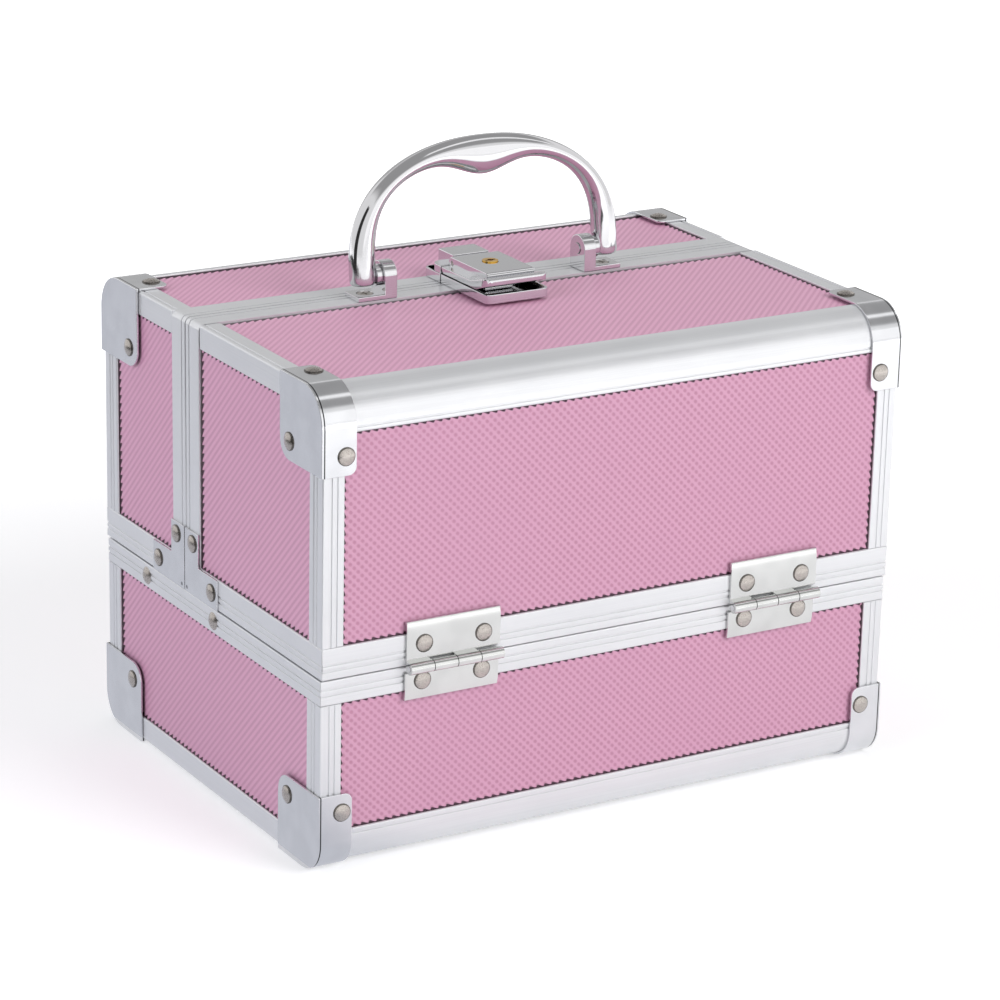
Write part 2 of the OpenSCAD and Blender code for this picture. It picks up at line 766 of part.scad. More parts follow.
// An angle bracket: its upright ear holds the pin, its foot takes one screw.
module handle_brackets() color(chrome) handle_place() both_ends()
  translate([0, strip_mid_y, zt]) {
  ear_r = meet_w / 2;
  difference() {
    union() {
      translate([-ear_out, -ear_r, 0]) cube([ear_t, meet_w, handle_pin_z]);
      rod_x(-ear_out, -ear_out + ear_t, 0, handle_pin_z, ear_r);
      translate([-ear_out - foot_l, -ear_r, 0]) cube([foot_l + eps, meet_w, foot_t]);
    }
    rod_x(-ear_out - eps, -ear_out + ear_t + eps, 0, handle_pin_z, handle_pin_r + run);
    translate([-ear_out - foot_l / 2, 0, -eps]) cylinder(r = 1.6, h = foot_t + 2 * eps);
    translate([-ear_out - foot_l / 2, 0, foot_t - 1]) cylinder(r = 3.1, h = 2);
  }
}

module handle_screws() color(rivet_metal) handle_place() both_ends()
  translate([-ear_out - foot_l / 2, strip_mid_y, zt]) difference() {
    union() {
      cylinder(r = 1.6, h = foot_t - 0.5);
      translate([0, 0, foot_t - 1]) cylinder(r = 2.9, h = 0.8);
    }
    for (a = [0, 90]) rotate([0, 0, a]) translate([-1.8, -0.3, foot_t - 0.6])
      cube([3.6, 0.6, 1]);
  }

// ---- latch ------------------------------------------------------------------------

latch_back = split_y - split_gap / 2;
latch_front = latch_back - latch_l;
lever_low = latch_rim_h + 0.4;
// The lock block ends behind in a barrel round the lever's pin.
block_barrel_r = 2.4;
lever_pin_y = latch_back - block_barrel_r - 0.1;
lever_pin_up = block_top - block_barrel_r;
plate_back = latch_back - 0.3;
bolt_w = 12;
bolt_t = 1.2;
bolt_low = latch_floor + 0.2;
bolt_in = 1.3;
bolt_l = 22;
lug_in = bolt_w / 2 + play;
lug_t = 1.8;
lug_r = 1.5;
lug_room = 0.25;
lock_y = split_y - 13.4;
keeper_ledge = 4.4;
keeper_block_in = 1;

// Latch pieces are drawn about the latch's own middle, up from the rail's top.
module latch_place() translate([latch_x, 0, zt]) children();

// A plate of width w and length l, back from y = 0, with its front corners rounded.
module nosed_plate(w, l, r, h) linear_extrude(h) intersection() {
  union() {
    for (s = [-1, 1]) translate([s * (w / 2 - r), r]) circle(r);
    translate([-w / 2, r]) square([w, l - r]);
    translate([r - w / 2, 0]) square([w - 2 * r, r + eps]);
  }
  translate([-w / 2, 0]) square([w, l]);
}

// The same plate with its rounded corners at the back.
module tailed_plate(w, l, r, h)
  translate([0, l, 0]) mirror([0, 1, 0]) nosed_plate(w, l, r, h);

// The shallow tray under the lever, with an upright rim on three sides and two lugs for
// the lever's pin.
module latch_base() color(chrome) latch_place() difference() {
  union() {
    translate([0, latch_front, 0]) difference() {
      nosed_plate(latch_w, latch_l, latch_r, latch_rim_h);
      translate([0, latch_t, latch_floor])
        nosed_plate(latch_w - 2 * latch_t, latch_l, latch_r - latch_t, latch_rim_h);
    }
    for (s = [-1, 1]) translate([s * (lug_in + lug_t / 2), lever_pin_y, 0])
      along_x(lug_t) union() {
        translate([0, lever_pin_up]) circle(lug_r);
        translate([-lug_r, latch_floor / 2])
          square([2 * lug_r, lever_pin_up - latch_floor / 2]);
      }
  }
  rod_x(-latch_w, latch_w, lever_pin_y, lever_pin_up, lever_pin_r);
}

module latch_pin() color(rivet_metal) latch_place()
  rod_x(play - block_w / 2, block_w / 2 - play, lever_pin_y, lever_pin_up, lever_pin_r);

// The lever: a plate with a lifted front lip, and the lock block that turns on the pin.
module latch_lever() color(bright) latch_place() difference() {
  union() {
    intersection() {
      along_x(latch_w) lever_plate_section();
      translate([0, latch_front + 0.8, 0])
        nosed_plate(latch_w, latch_l, lever_corner_r, block_top);
    }
    along_x(block_w) block_section();
  }
  lug_cavity();
  rod_x(-latch_w, latch_w, lever_pin_y, lever_pin_up, lever_pin_r + run);
  translate([0, lock_y, lever_low - eps]) cylinder(r = lock_r + run, h = block_top);
}

// The plate's heel is cut away under its back edge, to clear the rim as the lever turns.
module lever_plate_section() polygon([[latch_front + 0.8, lip_top - 2.4],
  [latch_front + 0.8, lip_top - 0.5], [latch_front + 1.3, lip_top],
  [latch_front + 3.4, lip_top], [latch_front + 12, lever_top],
  [plate_back, lever_top], [plate_back, lever_top - 1],
  [plate_back - 1.4, lever_low], [latch_front + 8, lever_low],
  [latch_front + 2, lip_top - 2.8]]);

module block_section() union() {
  polygon([[latch_front + 8, lever_low], [latch_front + 5.4, block_top - 1],
    [latch_front + 6.4, block_top], [lever_pin_y, block_top],
    [lever_pin_y, lever_low]]);
  translate([lever_pin_y, lever_pin_up]) circle(block_barrel_r);
  translate([lever_pin_y - eps, lever_low])
    square([eps + block_barrel_r, lever_pin_up - lever_low]);
}

// The room inside the lock block for the base's lugs, open at the back for their swing.
module lug_cavity() {
  half = lug_in + lug_t + lug_room;
  front = lever_pin_y - lug_r - 0.7;
  rod_x(-half, half, lever_pin_y, lever_pin_up, lug_r + lug_room);
  translate([-half, front, lever_low - eps])
    cube([2 * half, lever_pin_y - front, eps + lever_pin_up - lever_low]);
  translate([-half, lever_pin_y - eps, lever_low - eps])
    cube([2 * half, block_barrel_r + 2 * eps, eps + lever_pin_up - lever_low + 0.9]);
}

// The key cylinder in the lever, with its keyhole.
module lock_cylinder() color(brass) latch_place() translate([0, lock_y, 0]) {
  difference() {
    translate([0, 0, latch_rim_h - 0.6])
      cylinder(r = lock_r, h = block_top - latch_rim_h + 1);
    translate([-2.1, -0.4, block_top - 1.2]) cube([4.2, 0.8, 3]);
    translate([0, 0, block_top - 1.2]) cylinder(r = 1.1, h = 3);
  }
}

// The flat bolt under the lever, which reaches into the keeper across the split.
module latch_bolt() color(bright) latch_place() translate([0, latch_back, bolt_low])
  board([-bolt_w / 2, split_gap + bolt_in - bolt_l, 0],
    [bolt_w / 2, split_gap + bolt_in, bolt_t]);

// The keeper on the rear lid: a rimmed tray, the shoulders that carry on the lever's
// plate, and a raised block with the bolt's slot.
module latch_keeper() color(chrome) latch_place()
  translate([0, split_y + split_gap / 2, 0]) difference() {
    shoulder_w = latch_w - 0.4;
    union() {
      difference() {
        tailed_plate(latch_w, keeper_l, latch_r, latch_rim_h);
        translate([0, -eps, latch_floor]) tailed_plate(latch_w - 2 * latch_t,
          keeper_l + eps - latch_t, latch_r - latch_t, latch_rim_h);
      }
      tailed_plate(shoulder_w, keeper_l - keeper_ledge, shoulder_r, lever_top);
      translate([-keeper_block_w / 2, play, 0])
        cube([keeper_block_w, keeper_l - play - keeper_block_in, block_top - 0.2]);
    }
    slot_w = keeper_block_w - 2 * latch_t;
    translate([-slot_w / 2, -eps, -eps]) cube([slot_w, 3 + eps, 6 + eps]);
  }

// ---- trays ------------------------------------------------------------------------

tray_y0 = rail_t + tray_inset;
tray_low = pin_z + tray_pivot_z - tray_pivot_up;

// An open tray that ends the given distance before the split, with pivot holes and the
// arms' pins.
module tray(w, pivot_y, arm_y, back) {
  y1 = w - back;
  pivot = [pivot_y - pin_out, pin_z + tray_pivot_z];
  link = [arm_y + pivot_y, arm_pivot_z + tray_pivot_z];
  difference() {
    board([-tray_hx, tray_y0, tray_low], [tray_hx, y1, tray_low + tray_h]);
    board([tray_t - tray_hx, tray_y0 + tray_t, tray_low + tray_t],
      [tray_hx - tray_t, y1 - tray_t, tray_low + tray_h + eps]);
    both_ends()
      rod_x(-tray_hx - eps, tray_t + eps - tray_hx, pivot[0], pivot[1], tray_pin_r + run);
  }
  both_ends() rod_x(-tray_hx - tray_gap - arm_t, tray_t / 2 - tray_hx, link[0], link[1],
    tray_pin_r);
}

// Upright dividers: one along the tray and the given number across it.
module dividers(w, back, across) {
  x1 = tray_hx - tray_t - lining_gap;
  y0 = tray_y0 + tray_t + lining_gap;
  y1 = w - back - tray_t - lining_gap;
  z0 = tray_low + tray_t;
  z1 = tray_low + tray_h - 3;
  mid = (y0 + y1) / 2;
  half = divider_t / 2 + 0.1;
  board([-x1, mid - divider_t / 2, z0], [x1, mid + divider_t / 2, z1]);
  for (k = [1 : across]) let (x = x1 * (2 * k / (across + 1) - 1)) {
    board([x - divider_t / 2, y0, z0], [x + divider_t / 2, mid - half, z1]);
    board([x - divider_t / 2, mid + half, z0], [x + divider_t / 2, y1, z1]);
  }
}

// A pair of flat arms from the base's pivots at arm_y to the tray's pins.
module arms(pivot_y, arm_y) both_ends()
  translate([arm_gap + arm_t / 2 - wall_in, arm_y, arm_pivot_z])
  rotate([atan2(tray_pivot_z, pivot_y), 0, 0]) {
    reach = norm([pivot_y, tray_pivot_z]);
    difference() {
      along_x(arm_t) union() {
        circle(arm_w / 2);
        translate([reach, 0]) circle(arm_w / 2);
        translate([0, -arm_w / 2]) square([reach, arm_w]);
      }
      rod_x(-arm_t, arm_t, 0, 0, shank_r + run);
      rod_x(-arm_t, arm_t, reach, 0, tray_pin_r + play);
    }
  }

front_arm_in = front_w + split_gap / 2 - front_arm_y;
rear_arm_in = rear_w + split_gap / 2 - rear_arm_y;
front_back = 0.5;
rear_back = 2;

module front_tray() color(black) front_lid_place()
  tray(front_w, front_pivot_y, front_arm_in, front_back);

module front_tray_dividers() color(black) front_lid_place()
  dividers(front_w, front_back, 3);

module front_tray_arms() color(metal) front_lid_place() arms(front_pivot_y, front_arm_in);

module rear_tray() color(black) rear_lid_place()
  tray(rear_w, rear_pivot_y, rear_arm_in, rear_back);

module rear_tray_dividers() color(black) rear_lid_place() dividers(rear_w, rear_back, 2);

module rear_tray_arms() color(metal) rear_lid_place() arms(rear_pivot_y, rear_arm_in);

// ---- the two half-lids -------------------------------------------------------------

module front_lid_top_panel() color(pink) front_lid_place() lid_top_panel(front_w);

module front_lid_front_panel() color(pink) front_lid_place() lid_long_panel();

module front_lid_end_panels() color(pink) front_lid_place() lid_end_panels(front_w);

module front_lid_corner_posts() color(metal) front_lid_place() lid_corner_posts();

module front_lid_long_rail() color(metal) front_lid_place() lid_long_rail();

module front_lid_end_rails() color(metal) front_lid_place()
  lid_end_rails(front_w, meet_reveal);

module front_lid_rim_rails() color(metal) front_lid_place() lid_rim_rails(front_w);

module front_lid_meeting_rail() color(metal) front_lid_place() lid_meeting_rail(front_w);

module front_lid_corner_guards() color(bright) front_lid_place() lid_corner_guards();

module front_lid_angle_plates() color(bright) front_lid_place() lid_angle_plates(front_w);

module front_lid_rivets() color(rivet_metal) front_lid_place() lid_rivets(front_w);

module front_lid_hinge_leaves() color(bright) front_lid_place() lid_hinge_leaves();

module front_lid_lining() color(black) front_lid_place() lid_lining(front_w);

module front_tray_brackets() color(metal) front_lid_place()
  tray_brackets(front_pivot_y);

module rear_lid_top_panel() color(pink) rear_lid_place() lid_top_panel(rear_w);

module rear_lid_rear_panel() color(pink) rear_lid_place() lid_long_panel();

module rear_lid_end_panels() color(pink) rear_lid_place() lid_end_panels(rear_w);

module rear_lid_corner_posts() color(metal) rear_lid_place() lid_corner_posts();

module rear_lid_long_rail() color(metal) rear_lid_place() lid_long_rail();

module rear_lid_end_rails() color(metal) rear_lid_place() lid_end_rails(rear_w, 0);

module rear_lid_rim_rails() color(metal) rear_lid_place() lid_rim_rails(rear_w);

module rear_lid_meeting_rail() color(metal) rear_lid_place() lid_meeting_rail(rear_w);

module rear_lid_corner_guards() color(bright) rear_lid_place() lid_corner_guards();

module rear_lid_angle_plates() color(bright) rear_lid_place() lid_angle_plates(rear_w);

module rear_lid_rivets() color(rivet_metal) rear_lid_place() lid_rivets(rear_w);

module rear_lid_hinge_leaves() color(bright) rear_lid_place() lid_hinge_leaves();

module rear_lid_lining() color(black) rear_lid_place() lid_lining(rear_w);

module rear_tray_brackets() color(metal) rear_lid_place() tray_brackets(rear_pivot_y);

// ---- drawing ----------------------------------------------------------------------

base_front_panel();
base_rear_panel();
base_end_panels();
base_bottom_panel();
base_corner_posts();
base_bottom_long_rails();
base_bottom_end_rails();
base_rim_rails();
base_corner_guards();
base_lining();
base_rivets();
arm_pivot_rivets();
front_hinge_base_leaves();
rear_hinge_base_leaves();
hinge_pins();
front_lid_top_panel();
front_lid_front_panel();
front_lid_end_panels();
front_lid_corner_posts();
front_lid_long_rail();
front_lid_end_rails();
front_lid_rim_rails();
front_lid_meeting_rail();
front_lid_corner_guards();
front_lid_angle_plates();
front_lid_rivets();
front_lid_hinge_leaves();
front_lid_lining();
front_tray_brackets();
handle_brackets();
handle_screws();
latch_base();
latch_pin();
rear_lid_top_panel();
rear_lid_rear_panel();
rear_lid_end_panels();
rear_lid_corner_posts();
rear_lid_long_rail();
rear_lid_end_rails();
rear_lid_rim_rails();
rear_lid_meeting_rail();
rear_lid_corner_guards();
rear_lid_angle_plates();
rear_lid_rivets();
rear_lid_hinge_leaves();
rear_lid_lining();
rear_tray_brackets();
latch_keeper();
handle();
handle_pins();
latch_lever();
lock_cylinder();
latch_bolt();
front_tray();
front_tray_dividers();
front_tray_arms();
rear_tray();
rear_tray_dividers();
rear_tray_arms();
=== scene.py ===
"""The finish of a split-top train case with a carrying handle.

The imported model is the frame, in metres. Each sub-assembly below is a class that eases
the edges of its extruded and pressed pieces, models the pieces that need a fuller form,
and gives every surface its finish. Sizes in them are millimetres, and the studio's are
metres.
"""

import json
import logging
import math
from collections.abc import Callable
from dataclasses import dataclass
from enum import Enum

import bmesh
import bpy
from mathutils import Matrix, Vector

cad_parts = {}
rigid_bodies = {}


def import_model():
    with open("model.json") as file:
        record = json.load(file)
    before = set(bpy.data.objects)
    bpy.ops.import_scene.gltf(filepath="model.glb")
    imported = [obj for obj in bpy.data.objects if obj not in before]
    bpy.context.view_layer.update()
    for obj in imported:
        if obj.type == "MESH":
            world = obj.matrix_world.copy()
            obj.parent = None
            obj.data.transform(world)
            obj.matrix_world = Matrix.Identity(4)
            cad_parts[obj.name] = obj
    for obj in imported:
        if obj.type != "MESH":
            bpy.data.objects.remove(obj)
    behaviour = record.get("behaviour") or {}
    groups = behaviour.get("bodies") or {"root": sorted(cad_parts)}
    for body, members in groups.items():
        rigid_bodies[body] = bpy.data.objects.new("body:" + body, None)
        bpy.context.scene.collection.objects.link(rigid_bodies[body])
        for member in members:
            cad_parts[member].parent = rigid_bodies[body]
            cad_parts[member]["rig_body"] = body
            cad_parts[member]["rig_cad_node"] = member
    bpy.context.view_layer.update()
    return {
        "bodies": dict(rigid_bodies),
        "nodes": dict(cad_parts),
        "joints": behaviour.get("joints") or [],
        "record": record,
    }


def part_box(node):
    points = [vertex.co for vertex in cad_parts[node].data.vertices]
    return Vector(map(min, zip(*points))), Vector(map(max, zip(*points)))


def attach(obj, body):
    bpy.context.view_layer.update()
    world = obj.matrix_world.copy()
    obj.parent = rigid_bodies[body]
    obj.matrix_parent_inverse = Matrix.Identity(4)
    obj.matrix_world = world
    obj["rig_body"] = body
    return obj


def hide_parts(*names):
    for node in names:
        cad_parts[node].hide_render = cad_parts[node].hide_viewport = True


LOG = logging.getLogger("train_case")
MM = 0.001
Colour = tuple[float, float, float]
Point = tuple[float, float, float]
Pair = tuple[float, float]
Sides = tuple[float, float, float, float]
RivetPlace = tuple[Vector, Vector, float]
PLAIN: Colour = (1.0, 1.0, 1.0)
COOL: Colour = (0.93, 0.95, 1.03)
LAMP_AIM: Point = (0.0, 0.0, 0.1)
CASE_PARTS = ("base", "front_lid", "rear_lid")


# ---- shader building ---------------------------------------------------------------


class Term:
    """A number that varies over a surface: one output socket, with arithmetic."""

    def __init__(self, wiring: "Wiring", socket: bpy.types.NodeSocket) -> None:
        """Keeps the node tree that the socket belongs to."""
        self.wiring = wiring
        self.socket = socket

    def math(self, operation: str, *others: "Term | float") -> "Term":
        """Adds one Math node.

        Args:
            operation: The Math node's operation.
            others: The second and third operands, where the operation has them.

        Returns:
            The node's result.
        """
        inputs = dict(enumerate((self, *others)))
        node = self.wiring.node("ShaderNodeMath", {"operation": operation}, inputs)
        return Term(self.wiring, node.outputs[0])

    def __add__(self, other: "Term | float") -> "Term":
        """The sum."""
        return self.math("ADD", other)

    __radd__ = __add__

    def __mul__(self, other: "Term | float") -> "Term":
        """The product."""
        return self.math("MULTIPLY", other)

    __rmul__ = __mul__

    def __sub__(self, other: "Term | float") -> "Term":
        """The difference."""
        return self.math("SUBTRACT", other)

    def __rsub__(self, other: float) -> "Term":
        """A number less this term."""
        return self * -1 + other

    def __truediv__(self, other: "Term | float") -> "Term":
        """The quotient."""
        return self.math("DIVIDE", other)

    def __pow__(self, exponent: float) -> "Term":
        """The power."""
        return self.math("POWER", exponent)

    def __abs__(self) -> "Term":
        """The size without its sign."""
        return self.math("ABSOLUTE")

    def least(self, other: "Term | float") -> "Term":
        """The smaller of the two."""
        return self.math("MINIMUM", other)

    def most(self, other: "Term | float") -> "Term":
        """The larger of the two."""
        return self.math("MAXIMUM", other)

    def wave(self, period: float) -> "Term":
        """A cosine of the given period, from 0 in its valleys to 1 on its crests."""
        return (self * (2 * math.pi / period)).math("COSINE") * 0.5 + 0.5

    def step(self, low: float, high: float) -> "Term":
        """A smooth step from 0 at low to 1 at high."""
        node = self.wiring.node(
            "ShaderNodeMapRange",
            {"interpolation_type": "SMOOTHSTEP"},
            {"Value": self, "From Min": low, "From Max": high},
        )
        return Term(self.wiring, node.outputs[0])


class Wiring:
    """A node tree under construction."""

    def __init__(self, owner: bpy.types.ID) -> None:
        """Empties the node tree of a material or a world."""
        owner.use_nodes = True
        self.tree = owner.node_tree
        self.tree.nodes.clear()

    def node(
        self, kind: str, settings: dict | None = None, inputs: dict | None = None
    ) -> bpy.types.Node:
        """Adds any node.

        Args:
            kind: The node's type name.
            settings: Its properties, which are set first.
            inputs: Values, terms or sockets for its inputs, by name or number.

        Returns:
            The new node.
        """
        made = self.tree.nodes.new(kind)
        for key, value in (settings or {}).items():
            setattr(made, key, value)
        for key, value in (inputs or {}).items():
            self.feed(made.inputs[key], value)
        return made

    def feed(self, socket: bpy.types.NodeSocket, value: object) -> None:
        """Links a term or a socket to an input, or sets its value."""
        if isinstance(value, Term):
            value = value.socket
        if isinstance(value, bpy.types.NodeSocket):
            self.tree.links.new(value, socket)
        else:
            socket.default_value = value

    def seen(self) -> Term:
        """1 for rays from the camera, in reflections and through glass, and 0 for light."""
        path = self.node("ShaderNodeLightPath").outputs
        seen = Term(self, path["Is Camera Ray"]).most(Term(self, path["Is Glossy Ray"]))
        return seen.most(Term(self, path["Is Transmission Ray"]))


class Shader(Wiring):
    """One material under construction, round a single surface shader."""

    def __init__(self, name: str, kind: str = "ShaderNodeBsdfPrincipled") -> None:
        """Starts a material of that name with a surface shader of that kind."""
        self.material = bpy.data.materials.new(name)
        super().__init__(self.material)
        self.surface = self.node(kind)
        self.output = self.node(
            "ShaderNodeOutputMaterial", inputs={0: self.surface.outputs[0]}
        )

    def principled(self, **inputs: object) -> None:
        """Feeds the Principled shader, with each socket's name in words_like_this."""
        names = {"specular_ior_level": "Specular IOR Level"}
        for key, value in inputs.items():
            name = names.get(key, key.replace("_", " ").title())
            self.feed(self.surface.inputs[name], value)

    def place(self) -> tuple[Term, Term, Term]:
        """The surface point in the frame, in millimetres."""
        coordinate = self.node("ShaderNodeTexCoord").outputs["Object"]
        split = self.node("ShaderNodeSeparateXYZ", inputs={0: coordinate})
        x, y, z = (Term(self, socket) / MM for socket in split.outputs)
        return x, y, z

    def noise(self, grain: float | Point, detail: float = 2.0) -> Term:
        """Noise from 0 to 1.

        Args:
            grain: The size of its grains in millimetres, or their lengths along x, y and z.
            detail: How many finer octaves it has.

        Returns:
            The noise.
        """
        coordinate = self.node("ShaderNodeTexCoord").outputs["Object"]
        lengths = grain if isinstance(grain, tuple) else (grain,) * 3
        scale = [1 / (length * MM) for length in lengths]
        stretched = self.node(
            "ShaderNodeVectorMath", {"operation": "MULTIPLY"}, {0: coordinate, 1: scale}
        )
        made = self.node(
            "ShaderNodeTexNoise",
            inputs={"Vector": stretched.outputs[0], "Scale": 1.0, "Detail": detail},
        )
        return Term(self, made.outputs[0])

    def blend(self, factor: Term, low: object, high: object) -> bpy.types.NodeSocket:
        """Mixes two colours.

        Args:
            factor: 0 for the first colour, 1 for the second.
            low: The first colour, or a socket.
            high: The second colour, or a socket.

        Returns:
            The mixed colour's socket.
        """
        low, high = (c if hasattr(c, "node") else (*c, 1.0) for c in (low, high))
        inputs = {0: factor, 6: low, 7: high}
        return self.node("ShaderNodeMix", {"data_type": "RGBA"}, inputs).outputs[2]

    def glow(self, strength: Term | float, tint: Colour = PLAIN) -> bpy.types.NodeSocket:
        """The light of an Emission shader with that strength and colour."""
        inputs = {"Color": (*tint, 1.0), "Strength": strength}
        return self.node("ShaderNodeEmission", inputs=inputs).outputs[0]

    def relief(self, height: Term) -> None:
        """Gives the surface a bump of the given height in millimetres."""
        bump = self.node("ShaderNodeBump", inputs={"Height": height, "Distance": MM})
        self.feed(self.surface.inputs["Normal"], bump.outputs[0])


# ---- finishes ----------------------------------------------------------------------


@dataclass(frozen=True)
class Finish:
    """A named surface finish, built once and shared by its pieces."""

    name: str

    def material(self) -> bpy.types.Material:
        """The finish's material, made on its first use."""
        found = bpy.data.materials.get(self.name)
        if found:
            return found
        shader = Shader(self.name)
        self.build(shader)
        return shader.material

    def build(self, shader: Shader) -> None:
        """Wires the finish into a new shader."""
        raise NotImplementedError


class Grain(Enum):
    """The way a rail was drawn: the length of its draw lines along x, y and z."""

    LENGTH = (90.0, 0.35, 0.35)
    DEPTH = (0.35, 90.0, 0.35)
    HEIGHT = (0.35, 0.35, 90.0)


@dataclass(frozen=True)
class DrawnAluminium(Finish):
    """Satin anodised extrusion with fine draw lines along its length."""

    grain: Grain = Grain.LENGTH
    colour: Colour = (0.80, 0.805, 0.82)
    shade: Colour = (0.74, 0.745, 0.765)
    roughness: float = 0.33
    metallic: float = 0.6
    line_height: float = 0.004
    stain: float = 38.0

    def build(self, shader: Shader) -> None:
        """Draw lines and slow stains over a satin metal."""
        lines = shader.noise(self.grain.value, 3.0)
        stains = shader.noise(self.stain)
        mottle = (lines * 0.5 + stains * 0.5).step(0.25, 0.75)
        shader.principled(
            metallic=self.metallic,
            base_color=shader.blend(mottle, self.shade, self.colour),
            roughness=self.roughness + (lines - 0.5) * 0.10 + (stains - 0.5) * 0.08,
        )
        shader.relief(lines * self.line_height)


@dataclass(frozen=True)
class PressedSheet(Finish):
    """Bright sheet, pressed to shape: smooth, slightly wavy, with faint hairlines."""

    colour: Colour = (0.70, 0.705, 0.725)
    shade: Colour = (0.65, 0.655, 0.675)
    roughness: float = 0.14
    wave: float = 9.0
    wave_height: float = 0.05
    hairline: Point = (0.3, 6.0, 5.0)
    # painted shade: the band between these two distances from the middle, in millimetres, is
    # the shadow in the fold's crease
    shadow_line: Pair = (0.0, 0.0)
    shadow_line_colour: Colour = (0.012, 0.012, 0.014)
    shadow_line_blur: float = 0.1

    def build(self, shader: Shader) -> None:
        """A gloss metal with slow waves, faint hairlines and a painted shadow line at its fold.
        """
        waves = shader.noise(self.wave, 1.0)
        hairlines = shader.noise(self.hairline)
        polish = shader.blend(waves.step(0.25, 0.75), self.shade, self.colour)
        # painted shade: a near-black band across the fold, where a shadow falls in the crease
        if self.shadow_line[1]:
            reach = abs(shader.place()[0])
            begun, ended = (
                reach.step(side - self.shadow_line_blur, side + self.shadow_line_blur)
                for side in self.shadow_line
            )
            polish = shader.blend(begun * (1 - ended), polish, self.shadow_line_colour)
        shader.principled(
            metallic=1.0,
            base_color=polish,
            roughness=self.roughness + (hairlines - 0.5) * 0.06 + (waves - 0.5) * 0.05,
        )
        shader.relief(waves * self.wave_height)


@dataclass(frozen=True)
class Chrome(Finish):
    """Polished chrome plate, hardly blurred, with a trace of handling."""

    colour: Colour = (0.72, 0.715, 0.73)
    smeared: Colour = (0.66, 0.655, 0.67)
    roughness: float = 0.05
    smear: float = 7.0
    ripple: float = 2.2
    ripple_height: float = 0.006

    def build(self, shader: Shader) -> None:
        """A mirror metal with faint smears in its polish."""
        smears = shader.noise(self.smear, 3.0)
        shader.principled(
            metallic=1.0,
            base_color=shader.blend(smears, self.smeared, self.colour),
            roughness=self.roughness + smears.step(0.45, 0.8) * 0.07,
        )
        shader.relief(shader.noise(self.ripple) * self.ripple_height)


@dataclass(frozen=True)
class RivetNickel(Finish):
    """Warm grey nickel on the domed rivet heads, rubbed along the dome."""

    colour: Colour = (0.50, 0.462, 0.43)
    shade: Colour = (0.42, 0.385, 0.36)
    roughness: float = 0.28
    mark: float = 0.5
    mark_height: float = 0.008

    def build(self, shader: Shader) -> None:
        """Soft gloss metal with fine tumbling marks."""
        marks = shader.noise(self.mark, 3.0)
        shader.principled(
            metallic=1.0,
            base_color=shader.blend(marks.step(0.35, 0.7), self.shade, self.colour),
            roughness=self.roughness + (marks - 0.5) * 0.1,
        )
        shader.relief(marks * self.mark_height)


class Face(Enum):
    """The plane that a panel lies in, as the numbers of its two axes."""

    LONG_SIDE = (0, 2)
    END = (1, 2)
    TOP = (1, 0)


@dataclass(frozen=True)
class EmbossedVinyl(Finish):
    """Pink vinyl with pressed ribs at 45 degrees, crossed by others.

    The shadow in the gap round a panel is painted as a dark line with a tooth at each
    rib. Each of its four gaps, at the low and high side across and the low and high side
    up, widens the line inwards, or hides it under the rail where it is negative.
    """

    face: Face = Face.LONG_SIDE
    low: Pair = (0.0, 0.0)
    high: Pair = (0.0, 0.0)
    crossing: float = 0.77
    spread: float = 0.7
    colour: Colour = (0.80, 0.425, 0.595)
    # painted shade: the darker pink of the pressed valleys
    valley: Colour = (0.64, 0.285, 0.425)
    faded: Colour = (0.72, 0.36, 0.55)
    joint: Colour = (0.055, 0.022, 0.036)
    tooth: float = 0.8
    tooth_blur: Pair = (0.05, 0.45)
    gaps: Sides = (0.0, 0.0, 0.0, 0.0)
    cell: float = 3.15
    depth: float = 0.10
    roughness: float = 0.36
    grit: float = 0.5
    grit_height: float = 0.01
    cloud: float = 45.0

    def build(self, shader: Shader) -> None:
        """Ribs, painted shade in their valleys, and the toothed painted shadow of the gap at
        the rails.
        """
        place = shader.place()
        across, up = (place[axis] for axis in self.face.value)
        lean = -1 if self.face is Face.TOP else 1
        rib = (across + up * lean).wave(self.cell)
        cross_rib = (across - up * lean).wave(self.cell)
        # 1 deep in the pressed valleys; it drives the bump, the roughness and the painted shade
        valley = (rib * (cross_rib * self.crossing + (1 - self.crossing))) ** self.spread
        grit = shader.noise(self.grit)
        cloud = shader.noise(self.cloud)
        (left, bottom), (right, top), gaps = self.low, self.high, self.gaps
        # painted shadow: a dark toothed line where the gap between panel and rail lies in shade
        edge = (across - left - gaps[0]).least(right - gaps[1] - across)
        edge = edge.least(up - bottom - gaps[2]).least(top - gaps[3] - up)
        outside_gap_shadow = (edge - rib * self.tooth).step(*self.tooth_blur)
        # painted shade: the valleys darken towards the valley colour, where shade falls between
        # the ribs
        pressed = (valley + (grit - 0.5) * 0.25).step(0.1, 0.95)
        tone = shader.blend(pressed, self.colour, self.valley)
        tone = shader.blend(cloud.step(0.35, 0.75) * 0.12, tone, self.faded)
        shader.principled(
            base_color=shader.blend(outside_gap_shadow, self.joint, tone),
            roughness=self.roughness + (grit - 0.5) * 0.12 + valley * 0.1,
            specular_ior_level=0.45,
        )
        shader.relief((1 - valley) * self.depth + grit * self.grit_height)


@dataclass(frozen=True)
class BlackLining(Finish):
    """Matt black board, film or moulding with a fine even grain."""

    colour: Colour = (0.020, 0.020, 0.022)
    worn: Colour = (0.045, 0.045, 0.048)
    roughness: float = 0.62
    grain: float = 0.7
    height: float = 0.05
    cloud: float = 30.0

    def build(self, shader: Shader) -> None:
        """Leather-like grain with slightly rubbed crests."""
        pebble = shader.noise(self.grain)
        cloud = shader.noise(self.cloud)
        rubbed = pebble.step(0.5, 0.8) * (cloud * 0.6 + 0.4)
        shader.principled(
            base_color=shader.blend(rubbed, self.colour, self.worn),
            roughness=self.roughness - rubbed * 0.15,
        )
        shader.relief(pebble * self.height)


